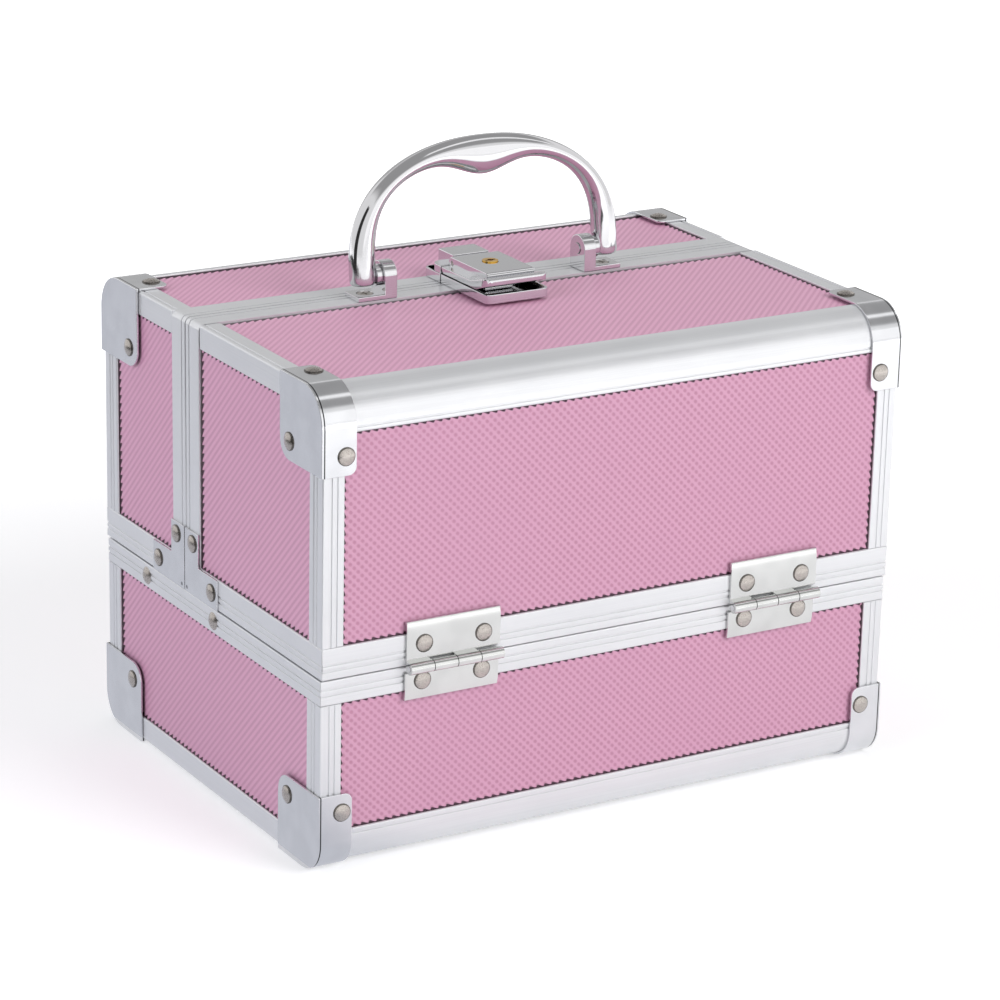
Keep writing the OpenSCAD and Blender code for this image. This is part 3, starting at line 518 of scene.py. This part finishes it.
@dataclass(frozen=True)
class Brass(Finish):
    """Polished brass with turning marks round the key cylinder's axis."""

    centre: Pair = (0.0, 0.0)
    colour: Colour = (0.83, 0.52, 0.10)
    tarnished: Colour = (0.62, 0.34, 0.05)
    tarnish_and_rim_shade: float = 1.2
    ring_pitch: float = 0.35
    ring_height: float = 0.006

    def build(self, shader: Shader) -> None:
        """Rings round the cylinder's axis on a gloss metal."""
        x, y, _ = shader.place()
        reach = ((x - self.centre[0]) ** 2 + (y - self.centre[1]) ** 2) ** 0.5
        rings = reach.wave(self.ring_pitch)
        tarnish_and_rim_shade = shader.noise(self.tarnish_and_rim_shade)
        shader.principled(
            metallic=1.0,
            base_color=shader.blend(tarnish_and_rim_shade, self.tarnished, self.colour),
            roughness=rings * 0.06 + tarnish_and_rim_shade * 0.1 + 0.12,
        )
        shader.relief(rings * self.ring_height)


# ---- modelling ---------------------------------------------------------------------


def extent(piece: bpy.types.Object) -> tuple[Vector, Vector]:
    """The lowest and the highest corner of an object's mesh."""
    points = [vertex.co for vertex in piece.data.vertices]
    low, high = (
        Vector(chosen(point[axis] for point in points) for axis in range(3))
        for chosen in (min, max)
    )
    return low, high


def to_edit_mode() -> None:
    """Opens the active object with its whole mesh selected."""
    bpy.ops.object.mode_set(mode="EDIT")
    bpy.ops.mesh.select_all(action="SELECT")


def to_object_mode() -> None:
    """Closes the active object's mesh."""
    bpy.ops.object.mode_set(mode="OBJECT")


def finish_modifier(kind: str, **settings: object) -> None:
    """Adds a modifier of that kind to the active object and applies it."""
    bpy.ops.object.modifier_add(type=kind)
    modifier = bpy.context.active_object.modifiers[-1]
    for key, value in settings.items():
        setattr(modifier, key, value)
    bpy.ops.object.modifier_apply(modifier=modifier.name)


class Bench:
    """Modelling moves that several sub-assemblies share."""

    merge_reach: float = 0.002 * MM
    flat_angle: float = math.radians(0.3)
    sharp_angle: float = math.radians(38)
    shading_angle: float = math.radians(35)
    side_reach: float = 0.02 * MM
    outer_length: float = 15 * MM

    def __init__(self, frame: dict) -> None:
        """Keeps the loaded frame, and lets go of what the import left selected."""
        record = frame["record"]
        self.nodes = frame["nodes"]
        self.body = {
            node: body
            for body, nodes in record["behaviour"]["bodies"].items()
            for node in nodes
        }
        self.slots = {row["node"]: row["material_slot"] for row in record["subparts"]}
        bpy.ops.object.select_all(action="DESELECT")

    @staticmethod
    def take(piece: bpy.types.Object) -> None:
        """Makes one object the only one selected, and the active one."""
        bpy.ops.object.select_all(action="DESELECT")
        piece.select_set(True)
        bpy.context.view_layer.objects.active = piece

    def copy_of(self, node: str) -> bpy.types.Object:
        """A copy of a CAD node's mesh, merged, with its flat faces whole again.

        Args:
            node: The CAD node's name.

        Returns:
            The copy, active and in object mode.
        """
        self.take(self.nodes[node])
        bpy.ops.object.duplicate()
        piece = bpy.context.active_object
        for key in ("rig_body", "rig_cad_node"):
            del piece[key]
        piece.parent = None
        piece.name = f"{node}.finished"
        bpy.ops.mesh.customdata_custom_splitnormals_clear()
        to_edit_mode()
        bpy.ops.mesh.remove_doubles(threshold=self.merge_reach)
        bpy.ops.mesh.dissolve_limited(angle_limit=self.flat_angle)
        to_object_mode()
        return piece

    @staticmethod
    def pick_edges(
        piece: bpy.types.Object, wanted: Callable[[bmesh.types.BMEdge], bool]
    ) -> int:
        """Selects the edges for which wanted(edge) is true, in edit mode.

        Args:
            piece: The object in edit mode.
            wanted: A test of one bmesh edge.

        Returns:
            How many edges are selected.
        """
        mesh = bmesh.from_edit_mesh(piece.data)
        bpy.ops.mesh.select_all(action="DESELECT")
        picked = [edge for edge in mesh.edges if wanted(edge)]
        for edge in picked:
            edge.select = True
        mesh.select_flush_mode()
        bmesh.update_edit_mesh(piece.data)
        return len(picked)

    def ease(
        self, piece: bpy.types.Object, width: float, shortest: float, proud: float = 0.0
    ) -> None:
        """Breaks a piece's sharp outer edges with a small round.

        Args:
            piece: The object, in object mode.
            width: The round's width in millimetres.
            shortest: Edges shorter than this many millimetres stay as they are.
            proud: The round's width on the long edges of the piece's outer box.
        """
        self.take(piece)
        box = extent(piece)
        to_edit_mode()
        bpy.ops.mesh.select_mode(type="EDGE")

        def sharp(edge: bmesh.types.BMEdge) -> bool:
            """True for a long convex edge with a clear turn across it."""
            return (
                len(edge.link_faces) == 2
                and edge.is_convex
                and edge.calc_length() > shortest * MM
                and edge.calc_face_angle(0.0) > self.sharp_angle
            )

        def outermost(edge: bmesh.types.BMEdge) -> bool:
            """True for a sharp edge that runs along two sides of the outer box."""
            sides = sum(
                all(abs(v.co[axis] - corner[axis]) < self.side_reach for v in edge.verts)
                for axis in range(3) for corner in box
            )
            return sides == 2 and edge.calc_length() > self.outer_length and sharp(edge)

        if proud and self.pick_edges(piece, outermost):
            bpy.ops.mesh.bevel(offset=proud * MM, segments=3, clamp_overlap=False)
        if self.pick_edges(piece, sharp):
            bpy.ops.mesh.bevel(offset=width * MM, segments=2, clamp_overlap=False)
        to_object_mode()

    def seat(self, piece: bpy.types.Object, node: str, finish: Finish) -> None:
        """Puts a finished piece in its node's place.

        Args:
            piece: The modelled piece.
            node: The CAD node that it stands for.
            finish: The finish of its surface.
        """
        piece.data.materials.clear()
        piece.data.materials.append(finish.material())
        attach(piece, self.body[node])
        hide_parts(node)
        LOG.info("%s: %d faces", piece.name, len(piece.data.polygons))

    def eased(
        self, node: str, finish: Finish, width: float, shortest: float = 1.6, proud: float = 0.0
    ) -> None:
        """Stands an eased copy of a node in its place.

        Args:
            node: The CAD node's name.
            finish: The finish of its surface.
            width: The width of the round on its edges, in millimetres.
            shortest: Edges shorter than this many millimetres stay as they are.
            proud: The round's width on the long edges of its outer box.
        """
        piece = self.copy_of(node)
        self.ease(piece, width, shortest, proud)
        bpy.ops.object.shade_smooth_by_angle(angle=self.shading_angle)
        finish_modifier("WEIGHTED_NORMAL", keep_sharp=True)
        self.seat(piece, node, finish)

    def paint(self, node: str, finish: Finish) -> None:
        """Gives a CAD node that keeps its own mesh a new finish."""
        for slot in self.nodes[node].material_slots:
            slot.material = finish.material()
        LOG.info("%s: kept, %s", node, finish.name)


@dataclass
class Rails:
    """The extruded rails, posts and meeting rails of the base and the half-lids."""

    bench: Bench
    easing: float = 0.28
    outer_easing: float = 0.55

    def build(self) -> None:
        """Eases every rail and finishes it along its own length."""
        along = {
            Grain.LENGTH: ("bottom_long_rails", "rim_rails", "long_rail", "meeting_rail"),
            Grain.DEPTH: ("bottom_end_rails", "end_rails"),
            Grain.HEIGHT: ("corner_posts",),
        }
        for grain, kinds in along.items():
            finish = DrawnAluminium(f"drawn_aluminium_{grain.name.lower()}", grain)
            for node in (f"{part}_{kind}" for part in CASE_PARTS for kind in kinds):
                if node in self.bench.nodes:
                    self.bench.eased(node, finish, self.easing, proud=self.outer_easing)


@dataclass
class Panels:
    """The vinyl-covered panels, which keep their CAD boards."""

    bench: Bench
    slot_depth: float = 2.5
    long_sides: tuple[str, ...] = (
        "base_front_panel", "base_rear_panel", "front_lid_front_panel", "rear_lid_rear_panel",
    )
    ends: tuple[tuple[str, Sides], ...] = (
        ("base_end_panels", (-0.5, 0.2, -0.5, -0.5)),
        ("front_lid_end_panels", (-0.6, 0.4, -0.5, -0.5)),
        ("rear_lid_end_panels", (-0.6, 0.3, -0.5, -0.5)),
    )
    tops: tuple[tuple[str, Sides], ...] = (
        ("front_lid_top_panel", (-1.0, 0.5, -0.8, -0.3)),
        ("rear_lid_top_panel", (-1.0, 0.3, -0.8, 0.0)),
    )

    def vinyl(self, panel: str, face: Face, **looks: object) -> None:
        """Finishes a panel with its own window, so that its painted gap shadow lies at the
        rails.

        Args:
            panel: The panel's node.
            face: The plane that the panel lies in.
            looks: The fields of its finish that differ from the usual ones.
        """
        low, high = (
            tuple(corner[axis] / MM + inwards * self.slot_depth for axis in face.value)
            for corner, inwards in zip(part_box(panel), (1, -1))
        )
        finish = EmbossedVinyl(f"embossed_vinyl_{panel}", face, low, high, **looks)
        self.bench.paint(panel, finish)

    def build(self) -> None:
        """Dots on the long sides, and ribs with long teeth in the painted gap shadow on the
        ends and tops.
        """
        for panel in self.long_sides:
            self.vinyl(panel, Face.LONG_SIDE)
        for face, panels in ((Face.END, self.ends), (Face.TOP, self.tops)):
            for panel, gaps in panels:
                self.vinyl(
                    panel, face, crossing=0.08, spread=1.0, depth=0.06,
                    valley=(0.66, 0.325, 0.475), tooth=1.6, gaps=gaps,
                )
        board = BlackLining("black_underside", grain=1.1, height=0.06)
        self.bench.paint("base_bottom_panel", board)


@dataclass
class Fittings:
    """Pair guards, angle plates and hinges, all pressed from bright sheet."""

    bench: Bench
    easing: float = 0.3
    plate_easing: float = 0.2
    shortest_guard_edge: float = 0.05
    # where the guards' painted shadow line lies, in millimetres from the middle
    guard_shadow_line: Pair = (119.75, 120.2)

    def build(self) -> None:
        """Eases the pressed sheet pieces and gives them their gloss, the guards with a painted
        shadow line at their fold.
        """
        sheet = PressedSheet("pressed_sheet")
        guard_sheet = PressedSheet("guard_sheet", shadow_line=self.guard_shadow_line)
        hinge_sheet = PressedSheet("hinge_sheet", (0.655, 0.66, 0.65), (0.60, 0.605, 0.595))
        for part in CASE_PARTS:
            self.bench.eased(
                f"{part}_corner_guards", guard_sheet, self.easing, self.shortest_guard_edge
            )
        for side in ("front", "rear"):
            self.bench.eased(f"{side}_lid_angle_plates", sheet, self.plate_easing)
            self.bench.eased(f"{side}_lid_hinge_leaves", hinge_sheet, self.easing)
        for side in ("front", "rear"):
            self.bench.eased(f"{side}_hinge_base_leaves", hinge_sheet, self.easing)
        self.bench.paint("hinge_pins", Chrome("pin_chrome"))


@dataclass
class Rivets:
    """The domed rivets, one modelled head copied to every place."""

    bench: Bench
    head: float = 3.4
    height: float = 1.3
    skirt: float = 0.25
    shank: float = 1.5
    rim_tilt: float = 29.0
    segments: int = 28
    bands: int = 24
    shading_angle: float = 50.0
    size_slack: float = 0.1

    def model(self, grip: float) -> bpy.types.Object:
        """Models one rivet, its head above z = 0 and its shank below.

        Args:
            grip: The shank's length in millimetres.

        Returns:
            The rivet, in object mode.
        """
        bpy.ops.object.select_all(action="DESELECT")
        rise = self.height - self.skirt
        ball = (self.head**2 + rise**2) / (2 * rise)
        bpy.ops.mesh.primitive_uv_sphere_add(
            segments=self.segments, ring_count=self.bands, radius=ball * MM
        )
        rivet = bpy.context.active_object
        to_edit_mode()
        bpy.ops.transform.translate(value=(0, 0, (self.height - ball) * MM))
        bpy.ops.mesh.bisect(
            plane_co=(0, 0, self.skirt * MM), plane_no=(0, 0, 1),
            use_fill=True, clear_inner=True,
        )
        bpy.ops.mesh.extrude_region_move(
            TRANSFORM_OT_translate={"value": (0, 0, -self.skirt * MM)}
        )
        bpy.ops.mesh.inset(thickness=(self.head - self.shank) * MM)
        bpy.ops.mesh.extrude_region_move(
            TRANSFORM_OT_translate={"value": (0, 0, -grip * MM)}
        )
        to_object_mode()
        bpy.ops.object.shade_smooth_by_angle(angle=math.radians(self.shading_angle))
        return rivet

    def ring(self, piece: bpy.types.Object, places: list[RivetPlace]) -> None:
        """Gives the steep rim of each rivet the piece's second finish, a painted contact shade.

        Args:
            piece: A node's joined rivets.
            places: Their feet, outward directions and grips.
        """
        steepest = math.cos(math.radians(self.rim_tilt))
        for face in piece.data.polygons:
            outward = min(places, key=lambda place: (face.center - place[0]).length)[1]
            face.material_index = int(face.normal.dot(outward) < steepest)

    def places(self, node: str) -> list[RivetPlace]:
        """Where a node's rivets sit.

        Args:
            node: The CAD node of the rivets.

        Returns:
            For each rivet the middle of its head's foot, its outward direction, and its
            shank's length in millimetres.
        """
        self.bench.copy_of(node)
        to_edit_mode()
        bpy.ops.mesh.separate(type="LOOSE")
        to_object_mode()
        found = []
        for part in list(bpy.context.selected_objects):
            low, high = extent(part)
            size, middle = high - low, (low + high) / 2
            wide = [abs(side / MM - 2 * self.head) < self.size_slack for side in size]
            axis = wide.index(False)
            outward = Vector((0, 0, 0))
            outward[axis] = 1.0 if axis == 2 or middle[axis] > 0 else -1.0
            tip = middle + outward * size[axis] / 2
            foot = tip - outward * self.height * MM
            found.append((foot, outward, size[axis] / MM - self.height))
        bpy.ops.object.delete()
        return found

    def build(self) -> None:
        """Copies the rivet to every place of each rivet node."""
        nickel = RivetNickel("rivet_nickel")
        # painted shade: a dark brown-grey on each rivet's steep rim, where the contact shadow
        # falls round the head
        tarnish_and_rim_shade = RivetNickel("rivet_rim_painted_shade", (0.20, 0.185, 0.17), (0.11, 0.10, 0.09), 0.3)
        for part in CASE_PARTS:
            node, copies = f"{part}_rivets", []
            places = self.places(node)
            for foot, outward, grip in places:
                rivet = self.model(grip)
                turn = outward.to_track_quat("Z", "Y").to_matrix().to_4x4()
                rivet.data.transform(Matrix.Translation(foot) @ turn)
                copies.append(rivet)
            bpy.ops.object.select_all(action="DESELECT")
            for rivet in copies:
                rivet.select_set(True)
            bpy.context.view_layer.objects.active = copies[0]
            bpy.ops.object.join()
            piece = bpy.context.active_object
            piece.name = f"{node}.domed"
            self.bench.seat(piece, node, nickel)
            piece.data.materials.append(tarnish_and_rim_shade.material())
            self.ring(piece, places)
        self.bench.paint("arm_pivot_rivets", nickel)


@dataclass
class CarryHandle:
    """The swept chrome handle, its pins, and the brackets that it swings in."""

    bench: Bench
    thickness: float = 10.2
    depth: float = 9.5
    rise: float = 43.4
    springing: float = 4.2
    foot_drop: float = 3.4
    swell: float = 6.3
    swell_reach: float = 13.0
    crown_thickness: float = 9.0
    outer_power: float = 2.2
    inner_power: float = 2.9
    lean: float = 6.0
    stations: int = 36
    sides: int = 20
    smoothing: int = 2
    bracket_easing: float = 0.4
    shortest_bracket_edge: float = 0.05
    foot_steps: tuple[Pair, ...] = ((0.0, 0.72), (0.5, 0.9), (1.6, 1.0))

    @staticmethod
    def arch(half: float, rise: float, power: float, turn: float) -> Vector:
        """A point on a rounded arch, at turn degrees from its crown."""
        s = math.sin(math.radians(turn))
        return Vector((half * s, 0, rise * (1 - abs(s) ** power) ** (1 / power)))

    def ring(self, outer: Vector, inner: Vector, deep: float, shrink: float) -> None:
        """Adds one oval ring between the outer and the inner curve, in edit mode.

        Args:
            outer: The ring's point on the outer curve, in metres.
            inner: Its point on the inner curve.
            deep: The ring's half depth in metres.
            shrink: A factor on both half axes.
        """
        middle, spoke = (outer + inner) / 2, (outer - inner) / 2
        half = spoke.length * shrink
        turn = math.atan2(-spoke.z, spoke.x)
        bpy.ops.mesh.primitive_circle_add(
            vertices=self.sides, radius=half, location=middle, rotation=(0, turn, 0)
        )
        bpy.ops.transform.resize(
            value=(1, deep * shrink / half, 1), center_override=middle
        )

    def rings(self) -> list[tuple[Vector, Vector, float]]:
        """Every ring of the upright handle from the right foot to the left one.

        Returns:
            The outer point, the inner point and the shrink factor of each ring, in
            metres from the pins.
        """
        low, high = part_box("handle")
        out = (high.x - low.x) / 2 / MM
        inside, inner_rise = out - self.thickness, self.rise - self.crown_thickness
        foot = -self.springing - self.foot_drop
        feet = [(foot + up, shrink) for up, shrink in self.foot_steps]
        feet += [(foot / 2, 1.0), (0.0, 1.0)]
        rings = [(Vector((out, 0, z)), Vector((inside, 0, z)), f) for z, f in feet]
        for step in range(1, self.stations):
            turn = 90 - 180 * step / self.stations
            outer = self.arch(out, self.rise, self.outer_power, turn)
            inner = self.arch(inside, inner_rise, self.inner_power, turn)
            inner.z -= self.swell * math.exp(-((inner.x / self.swell_reach) ** 2))
            rings.append((outer, inner, 1.0))
        rings += [(Vector((-out, 0, z)), Vector((-inside, 0, z)), f)
                  for z, f in reversed(feet)]
        lift = Vector((0, 0, self.springing))
        return [((lift + o) * MM, (lift + i) * MM, f) for o, i, f in rings]

    def loft(self) -> bpy.types.Object:
        """Models the upright handle, its pins at the origin, and smooths it.

        Returns:
            The handle, in object mode.
        """
        bpy.ops.object.select_all(action="DESELECT")
        rings = self.rings()
        bpy.ops.mesh.primitive_circle_add(vertices=3, radius=MM)
        handle = bpy.context.active_object
        to_edit_mode()
        bpy.ops.mesh.delete(type="VERT")
        for outer, inner, shrink in rings:
            self.ring(outer, inner, self.depth / 2 * MM, shrink)
        bpy.ops.mesh.select_mode(type="EDGE")
        count = self.sides
        for first in range(len(rings) - 1):
            pair = range(first * count, (first + 2) * count)
            self.bench.pick_edges(
                handle,
                lambda edge: all(v.index in pair for v in edge.verts)
                and len(edge.link_faces) < 2
                and abs(edge.verts[0].index - edge.verts[1].index) < count,
            )
            bpy.ops.mesh.bridge_edge_loops()
        self.bench.pick_edges(handle, lambda edge: len(edge.link_faces) == 1)
        bpy.ops.mesh.edge_face_add()
        bpy.ops.mesh.select_all(action="SELECT")
        bpy.ops.mesh.normals_make_consistent(inside=False)
        to_object_mode()
        bpy.ops.object.shade_smooth()
        finish_modifier("SUBSURF", levels=self.smoothing, render_levels=self.smoothing)
        return handle

    def build(self) -> None:
        """Stands the handle on its pins and finishes the chrome fittings."""
        handle = self.loft()
        handle.name = "handle.polished"
        low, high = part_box("handle_pins")
        turn = Matrix.Rotation(math.radians(-self.lean), 4, "X")
        handle.data.transform(Matrix.Translation((low + high) / 2) @ turn)
        chrome = Chrome("handle_chrome", (0.63, 0.63, 0.645), roughness=0.07)
        self.bench.seat(handle, "handle", chrome)
        self.bench.eased(
            "handle_brackets", chrome, self.bracket_easing, self.shortest_bracket_edge
        )
        self.bench.paint("handle_pins", chrome)
        self.bench.paint("handle_screws", RivetNickel("rivet_nickel"))


@dataclass
class Latch:
    """The key latch across the split: base, lever, cylinder, bolt and keeper."""

    bench: Bench
    easing: float = 0.4
    shortest_edge: float = 0.05

    def build(self) -> None:
        """Eases the plated pieces and finishes the brass cylinder."""
        chrome = Chrome("latch_chrome", (0.66, 0.665, 0.685), roughness=0.07)
        for node in ("latch_base", "latch_keeper", "latch_lever", "latch_bolt"):
            self.bench.eased(node, chrome, self.easing, self.shortest_edge)
        low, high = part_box("lock_cylinder")
        middle = (low + high) / 2 / MM
        self.bench.paint("lock_cylinder", Brass("key_brass", (middle.x, middle.y)))
        self.bench.paint("latch_pin", RivetNickel("rivet_nickel"))


@dataclass
class Inside:
    """Linings, trays, dividers, arms and brackets inside the case."""

    bench: Bench
    tray_easing: float = 0.4
    divider_easing: float = 0.25
    shortest_tray_edge: float = 3.0
    arm_easing: float = 0.2

    def build(self) -> None:
        """Finishes what shows when the half-lids are open."""
        moulded = BlackLining("moulded_tray", roughness=0.5, grain=0.9, height=0.04)
        cloth = BlackLining("lining_cloth", roughness=0.85, grain=0.35, height=0.08)
        rail = DrawnAluminium("drawn_arm", Grain.HEIGHT)
        for side in ("front", "rear"):
            shortest = self.shortest_tray_edge
            self.bench.eased(f"{side}_tray", moulded, self.tray_easing, shortest)
            self.bench.eased(f"{side}_tray_dividers", moulded, self.divider_easing, shortest)
            self.bench.eased(f"{side}_tray_arms", rail, self.arm_easing)
            self.bench.eased(f"{side}_tray_brackets", rail, self.arm_easing)
        for part in CASE_PARTS:
            self.bench.paint(f"{part}_lining", cloth)


# ---- the studio --------------------------------------------------------------------


@dataclass(frozen=True)
class Lamp:
    """A square soft lamp that faces the case: its place and side in metres, its watts."""

    name: str
    place: Point
    size: float
    power: float
    tint: Colour = PLAIN

    def hang(self) -> None:
        """Hangs the lamp, out of sight of the polished metal."""
        data = bpy.data.lights.new(self.name, "AREA")
        data.size, data.energy, data.color = self.size, self.power, self.tint
        lamp = bpy.data.objects.new(self.name, data)
        lamp.visible_glossy = False
        bpy.context.scene.collection.objects.link(lamp)
        aim = Vector(LAMP_AIM) - Vector(self.place)
        lamp.matrix_world = Matrix.Translation(self.place) @ (
            aim.to_track_quat("-Z", "Y").to_matrix().to_4x4()
        )


@dataclass(frozen=True)
class Card:
    """A flat card with soft edges that shows only in the polished metal.

    Its low and high corner, in metres, share x, y or z. Its tone is 1 where it looks
    white, and its feather is the width of its soft edge in millimetres.
    """

    name: str
    low: Point
    high: Point
    tone: float
    feather: float = 300.0
    tint: Colour = PLAIN

    def plane(self, thin: int) -> bpy.types.Object:
        """Models the card.

        Args:
            thin: The number of the axis that it faces along.

        Returns:
            The card, its place in its mesh.
        """
        low, high = Vector(self.low), Vector(self.high)
        size = high - low
        turns = ((0, math.pi / 2, 0), (math.pi / 2, 0, 0), (0, 0, 0))
        sides = ((size.z, size.y), (size.x, size.z), (size.x, size.y))
        bpy.ops.object.select_all(action="DESELECT")
        bpy.ops.mesh.primitive_plane_add(
            size=1, location=(low + high) / 2, rotation=turns[thin]
        )
        card = bpy.context.active_object
        card.scale = (*sides[thin], 1)
        bpy.ops.object.transform_apply(location=True, rotation=True, scale=True)
        return card

    def hang(self) -> None:
        """Hangs the card where only reflections find it."""
        thin = min(range(3), key=lambda axis: self.high[axis] - self.low[axis])
        card = self.plane(thin)
        card.name = self.name
        card.visible_camera = card.visible_diffuse = card.visible_shadow = False
        card.visible_transmission = False
        shader = Shader(self.name, "ShaderNodeMixShader")
        place = shader.place()
        first, second = (
            (place[axis] - self.low[axis] / MM).least(self.high[axis] / MM - place[axis])
            for axis in sorted({0, 1, 2} - {thin})
        )
        clear = shader.node("ShaderNodeBsdfTransparent").outputs[0]
        glow = shader.glow(self.tone, self.tint)
        shown = first.least(second).step(0.0, self.feather)
        for number, value in enumerate((shown, clear, glow)):
            shader.feed(shader.surface.inputs[number], value)
        card.data.materials.append(shader.material)


@dataclass
class Studio:
    """A pale floor, soft lamps, and the camera of the photograph, in metres."""

    eye: Point = (-0.70248, -1.17195, 0.55454)
    forward: Point = (0.4863, 0.8113, -0.3244)
    roll: float = 1.292
    lens: float = 137.504
    sensor: float = 36.0
    shift: Pair = (0.0063, 0.0255)
    air_light: float = 0.28
    floor_size: float = 14.0
    floor_colour: Colour = (0.86, 0.86, 0.87)
    near_glow: float = 0.38
    far_glow: float = 0.98
    glow_reach: Pair = (250.0, 900.0)
    lamps: tuple[Lamp, ...] = (
        Lamp("key", (0.9, -1.9, 1.5), 1.3, 30.0),
        Lamp("end_fill", (-1.9, -0.3, 1.0), 1.2, 13.5, (0.96, 0.98, 1.07)),
        Lamp("overhead", (0.1, 0.5, 2.2), 1.6, 10.5),
    )
    cards: tuple[Card, ...] = (
        Card("ceiling_card", (-1.6, -2.2, 2.0), (2.4, 2.4, 2.0), 0.42, 600.0),
        Card("strip_card", (0.2, -0.75, 1.95), (2.2, -0.2, 1.95), 1.25, 180.0),
        Card("rear_card", (-0.4, 2.4, 0.0), (3.6, 2.4, 2.0), 0.55),
        Card("front_card", (-1.0, -2.5, 0.0), (4.0, -2.5, 1.9), 1.4),
        Card("left_floor_card", (-0.5, -0.2, 0.002), (-0.06, 2.0, 0.002), 0.75, 60.0, COOL),
        Card("left_dark_card", (-2.0, -0.7, 0.001), (-0.42, 1.0, 0.001), 0.06, 120.0),
        Card("front_dark_card", (-2.0, -1.4, 0.001), (-0.24, -0.12, 0.001), 0.05, 100.0),
        Card("rear_dark_card", (0.05, 0.3, 0.001), (1.2, 1.6, 0.001), 0.15, 150.0),
        Card("left_card", (-0.8, -0.35, 0.0), (-0.8, 0.15, 0.9), 0.04, 60.0),
    )

    def camera(self) -> None:
        """Places the camera where the photograph was taken."""
        data = bpy.data.cameras.new("photograph")
        data.sensor_width, data.lens = self.sensor, self.lens
        data.shift_x, data.shift_y = self.shift
        data.clip_start, data.clip_end = 0.05, 60.0
        camera = bpy.data.objects.new("photograph", data)
        bpy.context.scene.collection.objects.link(camera)
        ahead = Vector(self.forward).normalized()
        right = ahead.cross(Vector((0, 0, 1))).normalized()
        up = right.cross(ahead)
        c, s = math.cos(math.radians(self.roll)), math.sin(math.radians(self.roll))
        turned = Matrix((c * right + s * up, c * up - s * right, -ahead)).transposed()
        camera.matrix_world = Matrix.Translation(self.eye) @ turned.to_4x4()
        bpy.context.scene.camera = camera

    def floor(self) -> None:
        """Lays a pale floor that the camera sees as white outside the soft shadow."""
        bpy.ops.object.select_all(action="DESELECT")
        bpy.ops.mesh.primitive_plane_add(size=self.floor_size)
        floor = bpy.context.active_object
        floor.name = "studio_floor"
        shader = Shader("pale_floor")
        shader.principled(base_color=(*self.floor_colour, 1.0), roughness=0.9)
        shader.principled(specular_ior_level=0.0)
        x, y, _ = shader.place()
        away = ((x**2 + y**2) ** 0.5).step(*self.glow_reach)
        strength = away * (self.far_glow - self.near_glow) + self.near_glow
        both = shader.node("ShaderNodeAddShader", inputs={
            0: shader.surface.outputs[0], 1: shader.glow(shader.seen() * strength)})
        shader.feed(shader.output.inputs[0], both.outputs[0])
        floor.data.materials.append(shader.material)

    def air(self) -> None:
        """A white background to the eye and in the metal, and a calm one as light."""
        world = bpy.data.worlds.new("studio_air")
        bpy.context.scene.world = world
        wiring = Wiring(world)
        strength = wiring.seen() * (1 - self.air_light) + self.air_light
        air = wiring.node(
            "ShaderNodeBackground", inputs={"Color": (*PLAIN, 1.0), "Strength": strength}
        )
        wiring.node("ShaderNodeOutputWorld", inputs={0: air.outputs[0]})

    def build(self) -> None:
        """Sets up the floor, the air, the lamps, the cards and the camera."""
        self.floor()
        self.air()
        for fitting in (*self.lamps, *self.cards):
            fitting.hang()
        self.camera()
        bpy.context.scene.view_settings.view_transform = "Standard"


def main() -> None:
    """Loads the frame, builds each sub-assembly in order, and sets up the studio."""
    logging.basicConfig(level=logging.INFO, format="%(name)s: %(message)s")
    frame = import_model()
    bench = Bench(frame)
    for sub_assembly in (Rails, Panels, Fittings, Rivets, CarryHandle, Latch, Inside):
        sub_assembly(bench).build()
    Studio().build()
    bpy.context.view_layer.update()


if __name__ == "__main__":
    main()
